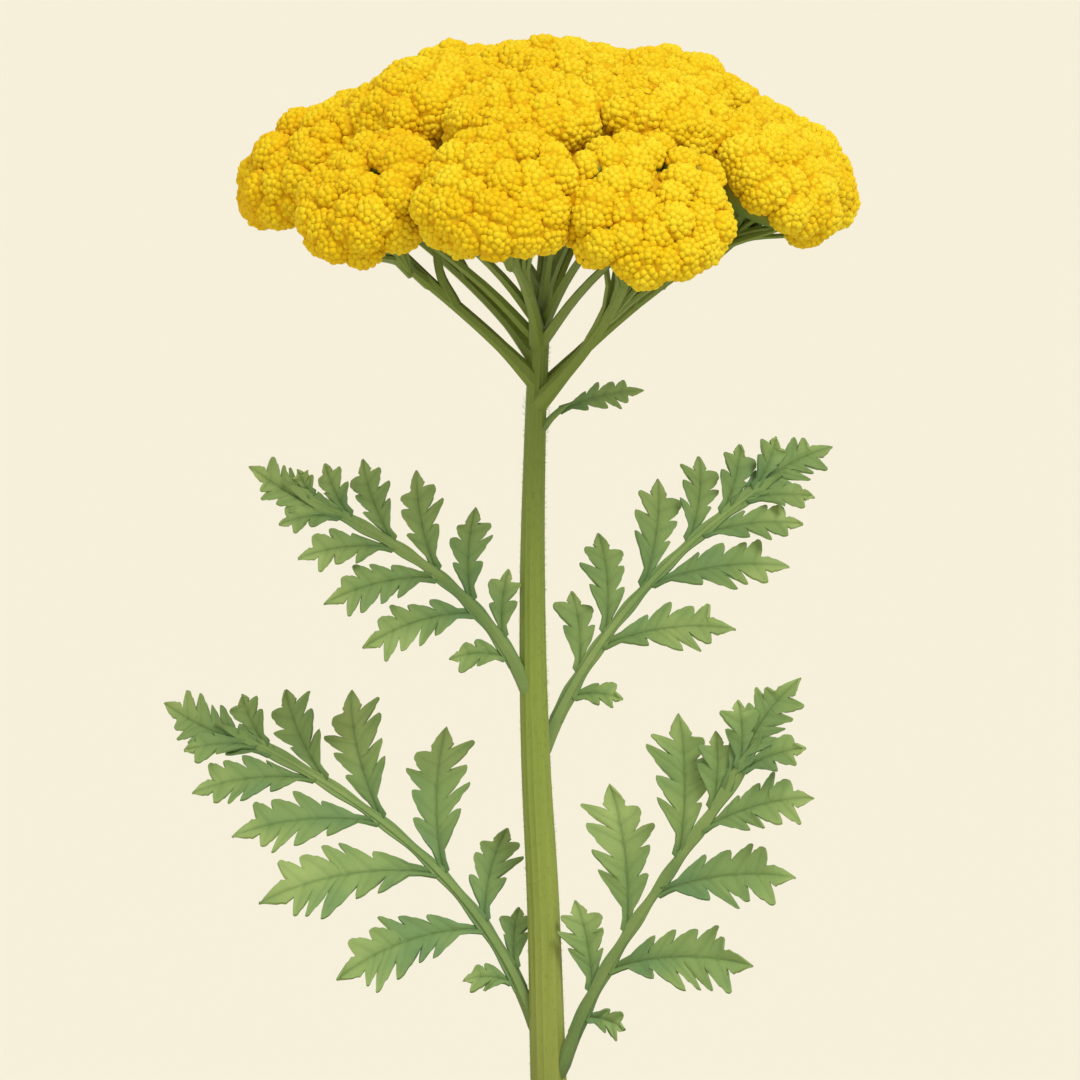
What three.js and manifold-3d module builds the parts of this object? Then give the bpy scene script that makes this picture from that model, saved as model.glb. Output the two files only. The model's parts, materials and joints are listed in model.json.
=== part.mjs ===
// A potted yarrow: one upright stem with a domed golden flower head of many button florets,
// lobed feather leaves up the stem, a low rosette round its foot, compost and a plain clay pot.
// Millimetres, +Z up, the front towards -Y. The origin is the centre of the pot's foot, on the ground.
import * as THREE from 'three';
import { mergeVertices } from 'three/addons/utils/BufferGeometryUtils.js';
import { ConvexHull } from 'three/addons/math/ConvexHull.js';
import Module from 'manifold-3d';

const wasm = await Module();
wasm.setup();

// Clay pot
const POT_HEIGHT = 124;
const POT_FOOT_RADIUS = 45;
const POT_SHOULDER_RADIUS = 62;
const POT_RIM_RADIUS = 70;
const POT_RIM_HEIGHT = 27;
const POT_RIM_TAPER = 2;
const POT_WALL = 6;
const POT_FLOOR = 8;
const POT_EDGE = 1.6;
const POT_DRAIN_RADIUS = 7;
const POT_SIDES = 32;

// Compost, level with the headspace line below the rim
const COMPOST_TOP = 110;
const COMPOST_MOUND = 3;
const CRUMB_HEIGHT = 1.3;
const CRUMB_WAVES = { x: 0.43, y: 0.37, across: 0.19 };
const COMPOST_RINGS = 4;
const COMPOST_SIDES = 20;
const COMPOST_TURN = 0.13;

// Every two pieces that touch keep this gap
const GAP = 0.3;

// Main stem: a gentle bow, thicker at the foot, that ends under the crown of the head
const STEM_POINTS = [
  [1.4, 0, 82], [1, 0, 120], [-0.1, 0, 150], [-1.2, -0.3, 186], [-2.7, -0.6, 216],
  [-3.3, -0.6, 246], [-2.9, -0.3, 276], [-2, 0, 298], [-0.4, 0.6, 318],
];
const STEM_FOOT_RADIUS = 3.7;
const STEM_NECK_RADIUS = 2.5;
const STEM_TOP_RADIUS = 1.3;
const STEM_NECK_SHARE = 0.62;
const STEM_SIDES = 8;
const STEM_STEPS = 13;

// Flower head: a flat dome of clusters, each [azimuth in degrees, reach from the axis, height, radius]
const CLUSTER_RINGS = {
  crown: [[60, 2, 348.4, 16.5]],
  middle: [
    [200, 26, 344.6, 16.6], [259, 25, 342.6, 15.6], [319, 27, 343.6, 16],
    [20, 27, 345, 16.4], [80, 26, 345.4, 16], [140, 26, 345.4, 16.2],
  ],
  outer: [
    [184, 46, 333.4, 17.6], [222, 45, 328.6, 15.2], [258, 46, 331.8, 16.4], [293, 47, 328.2, 17.4],
    [337, 45.5, 332, 16.2], [8, 47, 332.4, 16.6], [43, 46.5, 333.4, 16.8], [78, 46.5, 334, 16.8],
    [114, 46.5, 334, 16.8], [149, 46.5, 333.6, 17],
  ],
};
const HEAD_RADIUS = 63;
const HEAD_RISE = 38;
const NEIGHBOUR_SPAN = 1.2;
const CLUSTER_TOP_SHARE = 0.72;
const CLUSTER_UNDER_SHARE = 0.46;
const FLORETS_IN_CLUSTER = 44;
const FLORET_LOWEST = -0.3;
const FLORET_SHIFT = 0.12;
const FLORET_RISE = { least: 0.8, most: 1.8 };
const FLORET_VALLEY = 1;
const UNDERSIDE_RING = 7;
const UNDERSIDE_LEVEL = -0.72;

// Branches of the head: [height on the stem, bend's azimuth, reach and height, the cluster that the
// limb runs out to, and the clusters that its side twigs carry]
const BRANCHES = [
  [290.5, 200, 19, 309, ['outer', 0], ['middle', 0], ['outer', 1]],
  [286, 312, 23, 308, ['outer', 3], ['middle', 2], ['outer', 4]],
  [288, 25, 21, 310, ['outer', 5], ['middle', 3], ['outer', 6]],
  [292.6, 94, 19, 311, ['outer', 7], ['middle', 4], ['outer', 8]],
  [295, 148, 18, 313, ['outer', 9], ['middle', 5]],
  [298, 258, 16, 314, ['outer', 2], ['middle', 1]],
];
const LIMB_RADIUS = { foot: 1.7, tip: 1 };
const LIMB_SIDES = 6;
const LIMB_STEPS = 5;
const TWIG_RADIUS = { foot: 1.1, tip: 0.8 };
const TWIG_SIDES = 5;
const TWIG_STEPS = 3;
const TWIG_FORK = 0.44;
const TWIG_SPACING = 0.12;
const TWIG_LEVER = 8;

// Stem leaves: a midrib as a cubic curve, then the leaflets on its upper and its lower side, each
// [share of the way along the midrib, length, angle to the midrib], the end leaflet's length, and
// how far the blade is rolled to face up
const STEM_LEAVES = {
  stem_leaf_lower_left: {
    midrib: [[-1, 0, 155], [-11, 3.7, 191], [-41, 7.3, 208], [-67, 11, 220.4]],
    upper: [[0.18, 14, 26], [0.3, 21, 44], [0.43, 32, 39], [0.6, 29, 33], [0.74, 22, 28], [0.88, 13, 30]],
    lower: [[0.16, 11, 54], [0.29, 33, 67], [0.44, 39, 49], [0.6, 32, 37], [0.76, 27, 32], [0.9, 16, 26]],
    tip: 14, roll: 22, leans: 'left',
  },
  stem_leaf_lower_right: {
    midrib: [[1.4, -1, 148], [9.5, -5.7, 178], [30, -10.3, 198.4], [42.4, -15, 221.8]],
    upper: [[0.25, 20, 32], [0.42, 32, 34], [0.64, 31, 30], [0.78, 17, 26], [0.9, 15, 28]],
    lower: [[0.19, 9, 70], [0.32, 33, 48], [0.54, 32, 39], [0.73, 27, 30], [0.9, 16, 29]],
    tip: 16, roll: -22, leans: 'right',
  },
  stem_leaf_upper_left: {
    midrib: [[-3, -1, 225], [-12, -5.3, 253], [-37, -9.7, 262], [-53, -14, 272.6]],
    upper: [[0.22, 15, 34], [0.36, 20, 42], [0.49, 22, 35], [0.64, 19, 32], [0.78, 13, 30], [0.9, 7, 26]],
    lower: [[0.17, 13, 50], [0.33, 26, 54], [0.48, 26, 42], [0.63, 22, 30], [0.81, 14, 28]],
    tip: 9, roll: 20, leans: 'left',
  },
  stem_leaf_upper_right: {
    midrib: [[-2.6, 1, 212], [6, 4.7, 238], [26, 8.3, 258], [47, 12, 271]],
    upper: [[0.27, 18, 30], [0.39, 22, 34], [0.54, 24, 28], [0.7, 19, 34], [0.81, 16, 30], [0.91, 13, 25]],
    lower: [[0.21, 11, 58], [0.36, 29, 42], [0.56, 30, 34], [0.74, 22, 29], [0.88, 15, 28]],
    tip: 14, roll: -20, leans: 'right',
  },
  bract_leaf: {
    midrib: [[-2, -0.4, 280.5], [3, -2, 288.4], [9, -4, 289.2], [15, -5.5, 289.8]],
    upper: [[0.42, 3.6, 45], [0.64, 4, 42], [0.86, 3.4, 36]],
    lower: [[0.38, 3.8, 50], [0.6, 4.2, 44], [0.82, 3.6, 38]],
    tip: 5, roll: -15, leans: 'right', size: 0.6,
  },
};
const MIDRIB_STEPS = 8;
const MIDRIB_HALF_WIDTH = { foot: 1.6, tip: 0.5 };
const MIDRIB_HALF_DEPTH = { foot: 1.5, tip: 0.45 };

// Low leaves round the stem's foot: [azimuth in degrees, reach of the tip, height of the arch]
const LOW_LEAVES = [[4, 79, 139], [76, 79, 135], [141, 77, 133], [214, 76, 138], [287, 80, 142]];
const LOW_LEAF_FOOT = { reach: 9, height: 98 };
const LOW_LEAF_SPRING = 8;
const LOW_LEAF_ARCH = 4;
const LOW_LEAF_CREST = 0.55;
const LOW_LEAFLETS = [[0.38, 15, 58], [0.54, 20, 54], [0.7, 19, 46], [0.86, 14, 38]];
const LOW_LEAF_TIP = 14;

// Leaflet blades
const BLADE_THICKNESS = 0.8;
const LEAFLET_LEAST_WIDTH = 2.8;
const LEAFLET_WIDTH_PER_LENGTH = 0.3;
const LEAFLET_RISE_ANGLE = 8;
const LEAFLET_PITCH = 12;
const LEAFLET_ROOT_HALF_WIDTH = 0.8;
const MIDRIB_CLEARANCE = 0.7;
const LEAST_FRONT = 0.4;
const LOBE_FIRST = 0.15;
const LOBE_LAST = 0.82;
const LOBE_PEAK = 0.62;
const LOBE_DEPTH = 0.44;
const LOBE_LENGTH = 7;
const MOST_LOBES = 4;
const LOBE_SWEEP = 0.6;
const BLADE_MIDDLE = 1.15;
const BLADE_FULLNESS = 0.8;
const BLADE_RECURVE = 0.1;
const BLADE_DROOP = 0.14;
const BLADE_FOLD = 0.16;

const MATERIALS = {
  clay: { color: 0xb5673f, roughness: 0.9 },
  compost: { color: 0x3a2a1f, roughness: 1 },
  stem: { color: 0x6f8a38, roughness: 0.6 },
  leaf: { color: 0x5f8a52, roughness: 0.7 },
  floret: { color: 0xf2c40f, roughness: 0.8 },
};

const radians = THREE.MathUtils.degToRad;
const vector = (p) => new THREE.Vector3(...p);

// A point at an azimuth round the pot's axis, a reach from it and a height.
function polar(azimuth, reach, height) {
  const turn = radians(azimuth);
  return new THREE.Vector3(reach * Math.cos(turn), reach * Math.sin(turn), height);
}

// A closed solid from its corner points and triangles of their indexes.
function solidOf(points, faces) {
  const positions = new Float32Array(points.flatMap((p) => [p.x, p.y, p.z]));
  return new wasm.Manifold(new wasm.Mesh({
    numProp: 3, vertProperties: positions, triVerts: new Uint32Array(faces.flat()),
  }));
}

// A closed three.js geometry as a solid.
function solidOfGeometry(geometry) {
  geometry.deleteAttribute('normal');
  geometry.deleteAttribute('uv');
  const merged = mergeVertices(geometry, 1e-4);
  return new wasm.Manifold(new wasm.Mesh({
    numProp: 3,
    vertProperties: merged.attributes.position.array,
    triVerts: new Uint32Array(merged.index.array),
  }));
}

function joined(solids) {
  return solids.reduce((all, solid) => all.add(solid));
}

// Only the largest body of a solid, so that a cut leaves no scrap.
function largestBody(solid) {
  return solid.decompose().reduce((best, body) => (body.volume() > best.volume() ? body : best));
}

// A named mesh of a solid, with the flat-shaded look of its own facets.
function meshOf(name, solid, material) {
  const { vertProperties, triVerts } = solid.getMesh();
  const geometry = new THREE.BufferGeometry()
    .setAttribute('position', new THREE.BufferAttribute(vertProperties, 3))
    .setIndex(new THREE.BufferAttribute(triVerts, 1));
  const mesh = new THREE.Mesh(geometry, new THREE.MeshStandardMaterial({
    ...MATERIALS[material], metalness: 0, flatShading: true,
  }));
  mesh.name = name;
  return mesh;
}

// A round tube along a path, closed at both ends, with its radius a function of the share travelled.
// `early` is how far before the path's start it begins.
function tube(path, radiusAt, sides, steps, early = 0) {
  const turns = Array.from({ length: sides }, (_, k) => (2 * Math.PI * k) / sides);
  const section = new THREE.Shape(turns.map((turn) => new THREE.Vector2(Math.cos(turn), Math.sin(turn))));
  const geometry = new THREE.ExtrudeGeometry(section, { steps, extrudePath: path, bevelEnabled: false });
  const stations = path.getSpacedPoints(steps);
  const position = geometry.attributes.position;
  for (let i = 0; i < position.count; i++) {
    const point = new THREE.Vector3().fromBufferAttribute(position, i);
    const distances = stations.map((station) => station.distanceTo(point));
    const nearest = distances.indexOf(Math.min(...distances));
    point.sub(stations[nearest]).multiplyScalar(radiusAt(nearest / steps)).add(stations[nearest]);
    if (nearest === 0) point.addScaledVector(path.getTangentAt(0), -early);
    position.setXYZ(i, point.x, point.y, point.z);
  }
  return solidOfGeometry(geometry);
}

// The clay pot's inner wall at a height: it follows the outside and opens out behind the rim.
function potInnerRadius(height) {
  const shoulder = POT_HEIGHT - POT_RIM_HEIGHT;
  const slope = (POT_SHOULDER_RADIUS - POT_FOOT_RADIUS) / shoulder;
  const flare = (POT_RIM_RADIUS - POT_SHOULDER_RADIUS) / POT_RIM_HEIGHT;
  const below = POT_FOOT_RADIUS + slope * Math.min(height, shoulder) - POT_WALL;
  return below + flare * Math.max(0, height - shoulder);
}

function clayPot() {
  const shoulder = POT_HEIGHT - POT_RIM_HEIGHT;
  const outer = [
    [POT_DRAIN_RADIUS, 0], [POT_FOOT_RADIUS - POT_EDGE, 0], [POT_FOOT_RADIUS, POT_EDGE],
    [POT_SHOULDER_RADIUS, shoulder], [POT_RIM_RADIUS - POT_RIM_TAPER - POT_EDGE, shoulder],
    [POT_RIM_RADIUS - POT_RIM_TAPER, shoulder + POT_EDGE], [POT_RIM_RADIUS, POT_HEIGHT - POT_EDGE],
    [POT_RIM_RADIUS - POT_EDGE, POT_HEIGHT],
  ];
  const inner = [POT_HEIGHT, shoulder, POT_FLOOR].map((height) => [potInnerRadius(height), height]);
  const profile = [...outer, ...inner, [POT_DRAIN_RADIUS, POT_FLOOR], outer[0]];
  const points = profile.map(([r, z]) => new THREE.Vector2(r, z));
  return solidOfGeometry(new THREE.LatheGeometry(points, POT_SIDES).rotateX(Math.PI / 2));
}

// The compost fills the pot from its floor, with a low mound and crumbs on top.
function compostBlock() {
  const inside = (height) => potInnerRadius(height) * Math.cos(Math.PI / POT_SIDES) - GAP;
  const edge = COMPOST_TOP - COMPOST_MOUND;
  const walls = [POT_FLOOR + GAP, POT_HEIGHT - POT_RIM_HEIGHT].map((height) => [inside(height), height]);
  const profile = [[0, POT_FLOOR + GAP], ...walls];
  for (let ring = COMPOST_RINGS; ring >= 0; ring--) {
    const share = ring / COMPOST_RINGS;
    profile.push([(inside(edge) - GAP) * share, COMPOST_TOP - COMPOST_MOUND * share * share]);
  }
  const points = profile.map(([r, z]) => new THREE.Vector2(r, z));
  const geometry = new THREE.LatheGeometry(points, COMPOST_SIDES, COMPOST_TURN).rotateX(Math.PI / 2);
  const position = geometry.attributes.position;
  for (let i = 0; i < position.count; i++) {
    const [x, y, z] = [position.getX(i), position.getY(i), position.getZ(i)];
    const wave = Math.sin(CRUMB_WAVES.x * x + 1) * Math.cos(CRUMB_WAVES.y * y);
    const crumb = CRUMB_HEIGHT * wave * Math.sin(CRUMB_WAVES.across * (x + y));
    if (z > edge - 1) position.setZ(i, z + crumb);
  }
  return solidOfGeometry(geometry);
}

const crownFoot = underCluster(CLUSTER_RINGS.crown[0]).end;
const stemPath = new THREE.CatmullRomCurve3([...STEM_POINTS.map(vector), crownFoot]);

function stemRadius(share) {
  const { lerp } = THREE.MathUtils;
  if (share < STEM_NECK_SHARE) return lerp(STEM_FOOT_RADIUS, STEM_NECK_RADIUS, share / STEM_NECK_SHARE);
  return lerp(STEM_NECK_RADIUS, STEM_TOP_RADIUS, (share - STEM_NECK_SHARE) / (1 - STEM_NECK_SHARE));
}

// The stem's own centre line where it passes a height.
function stemAt(height) {
  let [low, high] = [0, 1];
  while (high - low > 1e-4) {
    const middle = (low + high) / 2;
    if (stemPath.getPointAt(middle).z < height) low = middle;
    else high = middle;
  }
  return stemPath.getPointAt(low);
}

// A cluster's place: its centre and the way it faces, square to the head's dome.
function clusterPlace([azimuth, reach, height]) {
  const centre = polar(azimuth, reach, height);
  const share = reach / HEAD_RADIUS;
  const axis = polar(azimuth, share / HEAD_RADIUS, Math.sqrt(1 - share * share) / HEAD_RISE).normalize();
  return { centre, axis };
}

// A seeded draw: between 0 and 1, and always the same for the same pair of whole numbers.
function draw(a, b) {
  const wave = Math.sin(a * 127.1 + b * 311.7) * 43758.5453;
  return wave - Math.floor(wave);
}

// Directions spread over a ball from straight up down to the florets' lowest level, each a little
// off its even place, then a ring and a pole that close the underside.
function clusterDirections(index) {
  const golden = Math.PI * (3 - Math.sqrt(5));
  const directions = [];
  for (let i = 0; i < FLORETS_IN_CLUSTER; i++) {
    const level = 1 - ((1 - FLORET_LOWEST) * (i + 0.5)) / FLORETS_IN_CLUSTER;
    const shift = [0, 1, 2].map((k) => FLORET_SHIFT * (draw(index, 3 * i + k) * 2 - 1));
    directions.push(onBall(level, golden * i + index).add(vector(shift)).normalize());
  }
  for (let i = 0; i < UNDERSIDE_RING; i++) {
    directions.push(onBall(UNDERSIDE_LEVEL, (2 * Math.PI * i) / UNDERSIDE_RING + index));
  }
  directions.push(new THREE.Vector3(0, 0, -1));
  return directions;
}

function onBall(level, turn) {
  const round = Math.sqrt(1 - level * level);
  return new THREE.Vector3(round * Math.cos(turn), round * Math.sin(turn), level);
}

// A cluster of button florets: each floret is a high point fanned out to the valleys round it.
function flowerCluster(spec, index) {
  const { centre, axis } = clusterPlace(spec);
  const radius = spec[3] - FLORET_RISE.least;
  const stand = new THREE.Quaternion().setFromUnitVectors(new THREE.Vector3(0, 0, 1), axis);
  const directions = clusterDirections(index);
  const surface = (direction, lift) => {
    const share = direction.z > 0 ? CLUSTER_TOP_SHARE : CLUSTER_UNDER_SHARE;
    return new THREE.Vector3(direction.x, direction.y, direction.z * share).multiplyScalar(radius)
      .addScaledVector(direction, lift).applyQuaternion(stand).add(centre);
  };
  const { lerp } = THREE.MathUtils;
  const points = directions.map((direction, i) => {
    const rise = i < FLORETS_IN_CLUSTER ? lerp(FLORET_RISE.least, FLORET_RISE.most, draw(i, index)) : 0;
    return surface(direction, rise);
  });
  const rings = directions.map(() => []);
  for (const face of new ConvexHull().setFromPoints(directions).faces) {
    const corners = [face.edge, face.edge.next, face.edge.next.next].map((e) => e.head().point);
    const valley = new THREE.Vector3().add(corners[0]).add(corners[1]).add(corners[2]).normalize();
    points.push(surface(valley, valley.z > FLORET_LOWEST ? -FLORET_VALLEY : 0));
    for (const corner of corners) rings[directions.indexOf(corner)].push([points.length - 1, valley]);
  }
  const faces = directions.flatMap((apex, i) => fan(i, apex, rings[i]));
  return solidOf(points, faces);
}

// Triangles from a middle point to the ring of valleys round it, counter-clockwise seen from outside.
function fan(middle, apex, ring) {
  const side = new THREE.Vector3(1, 0.3, 0.2).cross(apex).normalize();
  const front = apex.clone().cross(side);
  const sorted = ring
    .map(([index, valley]) => [Math.atan2(valley.dot(front), valley.dot(side)), index])
    .sort((a, b) => a[0] - b[0])
    .map(([, index]) => index);
  return sorted.map((index, i) => [middle, index, sorted[(i + 1) % sorted.length]]);
}

// Each cluster is cut back, half a gap short of the plane between it and each neighbour.
function partedClusters(specs) {
  const places = specs.map(clusterPlace);
  return specs.map((spec, i) => {
    let solid = flowerCluster(spec, i);
    for (let j = 0; j < specs.length; j++) {
      const away = places[i].centre.clone().sub(places[j].centre);
      const apart = away.length();
      if (j === i || apart > NEIGHBOUR_SPAN * (spec[3] + specs[j][3])) continue;
      away.normalize();
      const share = (apart + specs[j][3] - spec[3]) / (2 * apart);
      const middle = places[j].centre.clone().addScaledVector(away, share * apart);
      solid = solid.trimByPlane([away.x, away.y, away.z], middle.dot(away) + GAP / 2);
    }
    return largestBody(solid);
  });
}

// Where a stalk ends: a gap below the middle of a cluster's underside, heading into it.
function underCluster(spec) {
  const { centre, axis } = clusterPlace(spec);
  const drop = (spec[3] - FLORET_RISE.least) * CLUSTER_UNDER_SHARE + GAP;
  return { end: centre.addScaledVector(axis, -drop), axis };
}

// A stalk from a point, by way of another, to the underside of a cluster.
function stalkTo(spec, start, bend) {
  const { end, axis } = underCluster(spec);
  return new THREE.CubicBezierCurve3(start, bend, end.clone().addScaledVector(axis, -TWIG_LEVER), end);
}

// The stem with its branches: each limb runs out to one cluster and bears the twigs of others.
function branchedStem() {
  const taper = ({ foot, tip }) => (share) => THREE.MathUtils.lerp(foot, tip, share);
  const limbs = [tube(stemPath, stemRadius, STEM_SIDES, STEM_STEPS)];
  for (const [height, azimuth, reach, bendHeight, main, ...others] of BRANCHES) {
    const clusterAt = ([ring, index]) => CLUSTER_RINGS[ring][index];
    const limb = stalkTo(clusterAt(main), stemAt(height), polar(azimuth, reach, bendHeight));
    limbs.push(tube(limb, taper(LIMB_RADIUS), LIMB_SIDES, LIMB_STEPS));
    others.forEach((name, i) => {
      const fork = TWIG_FORK + TWIG_SPACING * i;
      const bend = limb.getPointAt(fork).addScaledVector(limb.getTangentAt(fork), TWIG_LEVER);
      const twig = stalkTo(clusterAt(name), limb.getPointAt(fork), bend);
      limbs.push(tube(twig, taper(TWIG_RADIUS), TWIG_SIDES, TWIG_STEPS));
    });
  }
  return joined(limbs);
}

// A sheet under construction: each point lies halfway between a top and an underside point.
class Sheet {
  top = [];

  under = [];

  triangles = [];

  add(point, up, halfDepth) {
    this.top.push(point.clone().addScaledVector(up, halfDepth));
    return this.under.push(point.clone().addScaledVector(up, -halfDepth)) - 1;
  }

  face(turned, ...corners) {
    this.triangles.push(turned ? corners.reverse() : corners);
  }

  // Triangles between two rows of points, each given as [share of the way along, index].
  zip(turned, near, far) {
    let [i, j] = [0, 0];
    while (i < near.length - 1 || j < far.length - 1) {
      const stepNear = j === far.length - 1 || (i < near.length - 1 && near[i + 1][0] <= far[j + 1][0]);
      this.face(turned, near[i][1], stepNear ? near[i + 1][1] : far[j + 1][1], far[j][1]);
      if (stepNear) i++;
      else j++;
    }
  }

  // The same triangles on both faces, with a wall along every edge that only one triangle has.
  solid() {
    const count = this.top.length;
    const edges = new Map();
    const faces = [];
    for (const [a, b, c] of this.triangles) {
      faces.push([a, b, c], [count + c, count + b, count + a]);
      for (const [from, to] of [[a, b], [b, c], [c, a]]) {
        if (!edges.delete(`${to} ${from}`)) edges.set(`${from} ${to}`, [from, to]);
      }
    }
    for (const [from, to] of edges.values()) {
      faces.push([to, from, count + from], [to, count + from, count + to]);
    }
    return solidOf([...this.top, ...this.under], faces);
  }
}

// The half-width of a leaflet at a share of its length, before its lobes: widest just past its middle.
function leafletHalfWidth(share, width) {
  return (width / 2) * Math.sin(Math.PI * share ** BLADE_MIDDLE) ** BLADE_FULLNESS;
}

// A lobed leaflet that grows from points of the sheet, `roots`. Its midrib runs along `out` at an
// angle to the leaf's, `ahead` is the way across it towards the leaf's tip, `up` is square to both.
function addLeaflet(sheet, roots, { origin, along, out, ahead, up }, { length, angle, size, turned }) {
  const width = size * LEAFLET_LEAST_WIDTH + LEAFLET_WIDTH_PER_LENGTH * length;
  const lobes = THREE.MathUtils.clamp(Math.round(length / LOBE_LENGTH), 1, MOST_LOBES);
  const point = (share, aside) => {
    const run = share + (LOBE_SWEEP * Math.abs(aside)) / length;
    const lift = BLADE_FOLD * Math.abs(aside) - BLADE_DROOP * length * run * run;
    const place = origin.clone()
      .addScaledVector(out, length * run)
      .addScaledVector(along, -BLADE_RECURVE * length * run * run)
      .addScaledVector(ahead, aside)
      .addScaledVector(up, lift);
    return sheet.add(place, up, BLADE_THICKNESS / 2);
  };
  const edges = (share, depth) => {
    const wide = Math.max(size * LEAFLET_ROOT_HALF_WIDTH, leafletHalfWidth(share, width) * (1 - depth));
    const apart = length * share * Math.sin(radians(angle)) - size * MIDRIB_CLEARANCE;
    const front = Math.min(wide, Math.max(LEAST_FRONT, apart / Math.cos(radians(angle))));
    return { front: point(share, front), rear: point(share, -wide) };
  };
  const row = (share) => ({ middle: point(share, 0), ...edges(share, LOBE_DEPTH) });
  const step = (LOBE_LAST - LOBE_FIRST) / lobes;
  let near = row(LOBE_FIRST);
  roots.slice(1).forEach((root, i) => sheet.face(turned, roots[i], root, near.middle));
  sheet.face(turned, roots.at(-1), near.front, near.middle);
  sheet.face(turned, roots[0], near.middle, near.rear);
  for (let j = 0; j < lobes; j++) {
    const { front, rear } = edges(LOBE_FIRST + (j + LOBE_PEAK) * step, 0);
    const far = row(LOBE_FIRST + (j + 1) * step);
    sheet.face(turned, near.middle, near.front, front);
    sheet.face(turned, near.middle, front, far.middle);
    sheet.face(turned, far.middle, front, far.front);
    sheet.face(turned, near.middle, rear, near.rear);
    sheet.face(turned, near.middle, far.middle, rear);
    sheet.face(turned, far.middle, far.rear, rear);
    near = far;
  }
  const tip = point(1, 0);
  sheet.face(turned, near.middle, near.front, tip);
  sheet.face(turned, near.middle, tip, near.rear);
}

// The midrib of a leaf: its frame and its edges at any share of its length. `facing` is the way
// its upper face looks before the roll.
function midribOf({ midrib, roll, facing, size = 1 }) {
  const path = new THREE.CubicBezierCurve3(...midrib.map(vector));
  const frameAt = (share) => {
    const along = path.getTangentAt(share);
    const up = facing.clone().addScaledVector(along, -facing.dot(along)).normalize()
      .applyAxisAngle(along, radians(roll));
    return { centre: path.getPointAt(share), along, up, aside: up.clone().cross(along) };
  };
  const edgeAt = (share, side) => {
    const { centre, aside } = frameAt(share);
    const half = size * THREE.MathUtils.lerp(MIDRIB_HALF_WIDTH.foot, MIDRIB_HALF_WIDTH.tip, share);
    return centre.addScaledVector(aside, side * half);
  };
  return { reach: path.getLength(), size, frameAt, edgeAt };
}

// The ridge along the middle of a midrib, as a row of points.
function addRidge(sheet, { size, frameAt }) {
  return Array.from({ length: MIDRIB_STEPS + 1 }, (_, i) => {
    const share = i / MIDRIB_STEPS;
    const { centre, up } = frameAt(share);
    const half = size * THREE.MathUtils.lerp(MIDRIB_HALF_DEPTH.foot, MIDRIB_HALF_DEPTH.tip, share);
    return [share, sheet.add(centre, up, half)];
  });
}

// One side of a leaf: its edge of the midrib, as a row of points, with the leaflets that grow there.
function addSide(sheet, rib, ridge, leaflets, side) {
  const { reach, size, frameAt, edgeAt } = rib;
  const turned = side < 0;
  const edgePoint = (share) => {
    return [share, sheet.add(edgeAt(share, side), frameAt(share).up, BLADE_THICKNESS / 2)];
  };
  const petiole = ridge.filter(([share]) => share < leaflets[0][0] - 0.5 / MIDRIB_STEPS);
  const edge = petiole.map(([share]) => edgePoint(share));
  const halfRoot = (size * LEAFLET_ROOT_HALF_WIDTH) / reach;
  for (const [at, length, angle] of leaflets) {
    const roots = [edgePoint(at - halfRoot), edgePoint(at + halfRoot)];
    edge.push(...roots);
    const frame = { ...leafletFrame(frameAt(at), side, angle), origin: edgeAt(at, side) };
    addLeaflet(sheet, roots.map(([, index]) => index), frame, { length, angle, size, turned });
  }
  edge.push(edgePoint(1));
  sheet.zip(turned, ridge, edge);
  return edge;
}

// A leaf in one sheet: a midrib with a ridge and a keel, leaflets in a row along each side
// and one at its tip.
function featherLeaf(spec) {
  const sheet = new Sheet();
  const rib = midribOf(spec);
  const ridge = addRidge(sheet, rib);
  const sides = spec.leans === 'left' ? [spec.lower, spec.upper] : [spec.upper, spec.lower];
  const edges = sides.map((leaflets, i) => addSide(sheet, rib, ridge, leaflets, 1 - 2 * i));
  const end = rib.frameAt(1);
  const roots = [edges[0], ridge, edges[1]].map((row) => row.at(-1)[1]);
  const frame = { ...end, origin: end.centre, out: end.along, ahead: end.aside.clone().negate() };
  addLeaflet(sheet, roots, frame, { length: spec.tip, angle: 90, size: rib.size, turned: false });
  return sheet.solid();
}

// The frame of a leaflet that leaves the midrib to one side at an angle, a little raised and pitched.
function leafletFrame({ along, up, aside }, side, angle) {
  const rise = radians(LEAFLET_RISE_ANGLE);
  const flat = along.clone().multiplyScalar(Math.cos(radians(angle)))
    .addScaledVector(aside, side * Math.sin(radians(angle)));
  const out = flat.multiplyScalar(Math.cos(rise)).addScaledVector(up, Math.sin(rise));
  const ahead = along.clone().addScaledVector(out, -along.dot(out)).normalize()
    .applyAxisAngle(out, side * radians(LEAFLET_PITCH));
  const face = ahead.clone().cross(out).multiplyScalar(side);
  return { along, out, ahead, up: face };
}

// A low leaf arches out from the compost over the pot's rim.
function lowLeafMidrib([azimuth, reach, arch]) {
  const foot = LOW_LEAF_FOOT;
  const end = reach - LOW_LEAF_TIP;
  return [
    polar(azimuth, foot.reach, foot.height),
    polar(azimuth, foot.reach + LOW_LEAF_SPRING, arch + LOW_LEAF_ARCH),
    polar(azimuth, LOW_LEAF_CREST * end, arch + LOW_LEAF_ARCH),
    polar(azimuth, end, arch - LOW_LEAF_ARCH),
  ].map((p) => p.toArray());
}

function lowLeaf(spec) {
  return featherLeaf({
    midrib: lowLeafMidrib(spec), upper: LOW_LEAFLETS, lower: LOW_LEAFLETS, tip: LOW_LEAF_TIP,
    roll: 0, leans: 'left', facing: new THREE.Vector3(0, 0, 1),
  });
}

const clusterSpecs = Object.values(CLUSTER_RINGS).flat();
const clusters = partedClusters(clusterSpecs);
const stem = branchedStem();
const stemRoom = tube(stemPath, (share) => stemRadius(share) + GAP, STEM_SIDES, STEM_STEPS, GAP);

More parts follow.
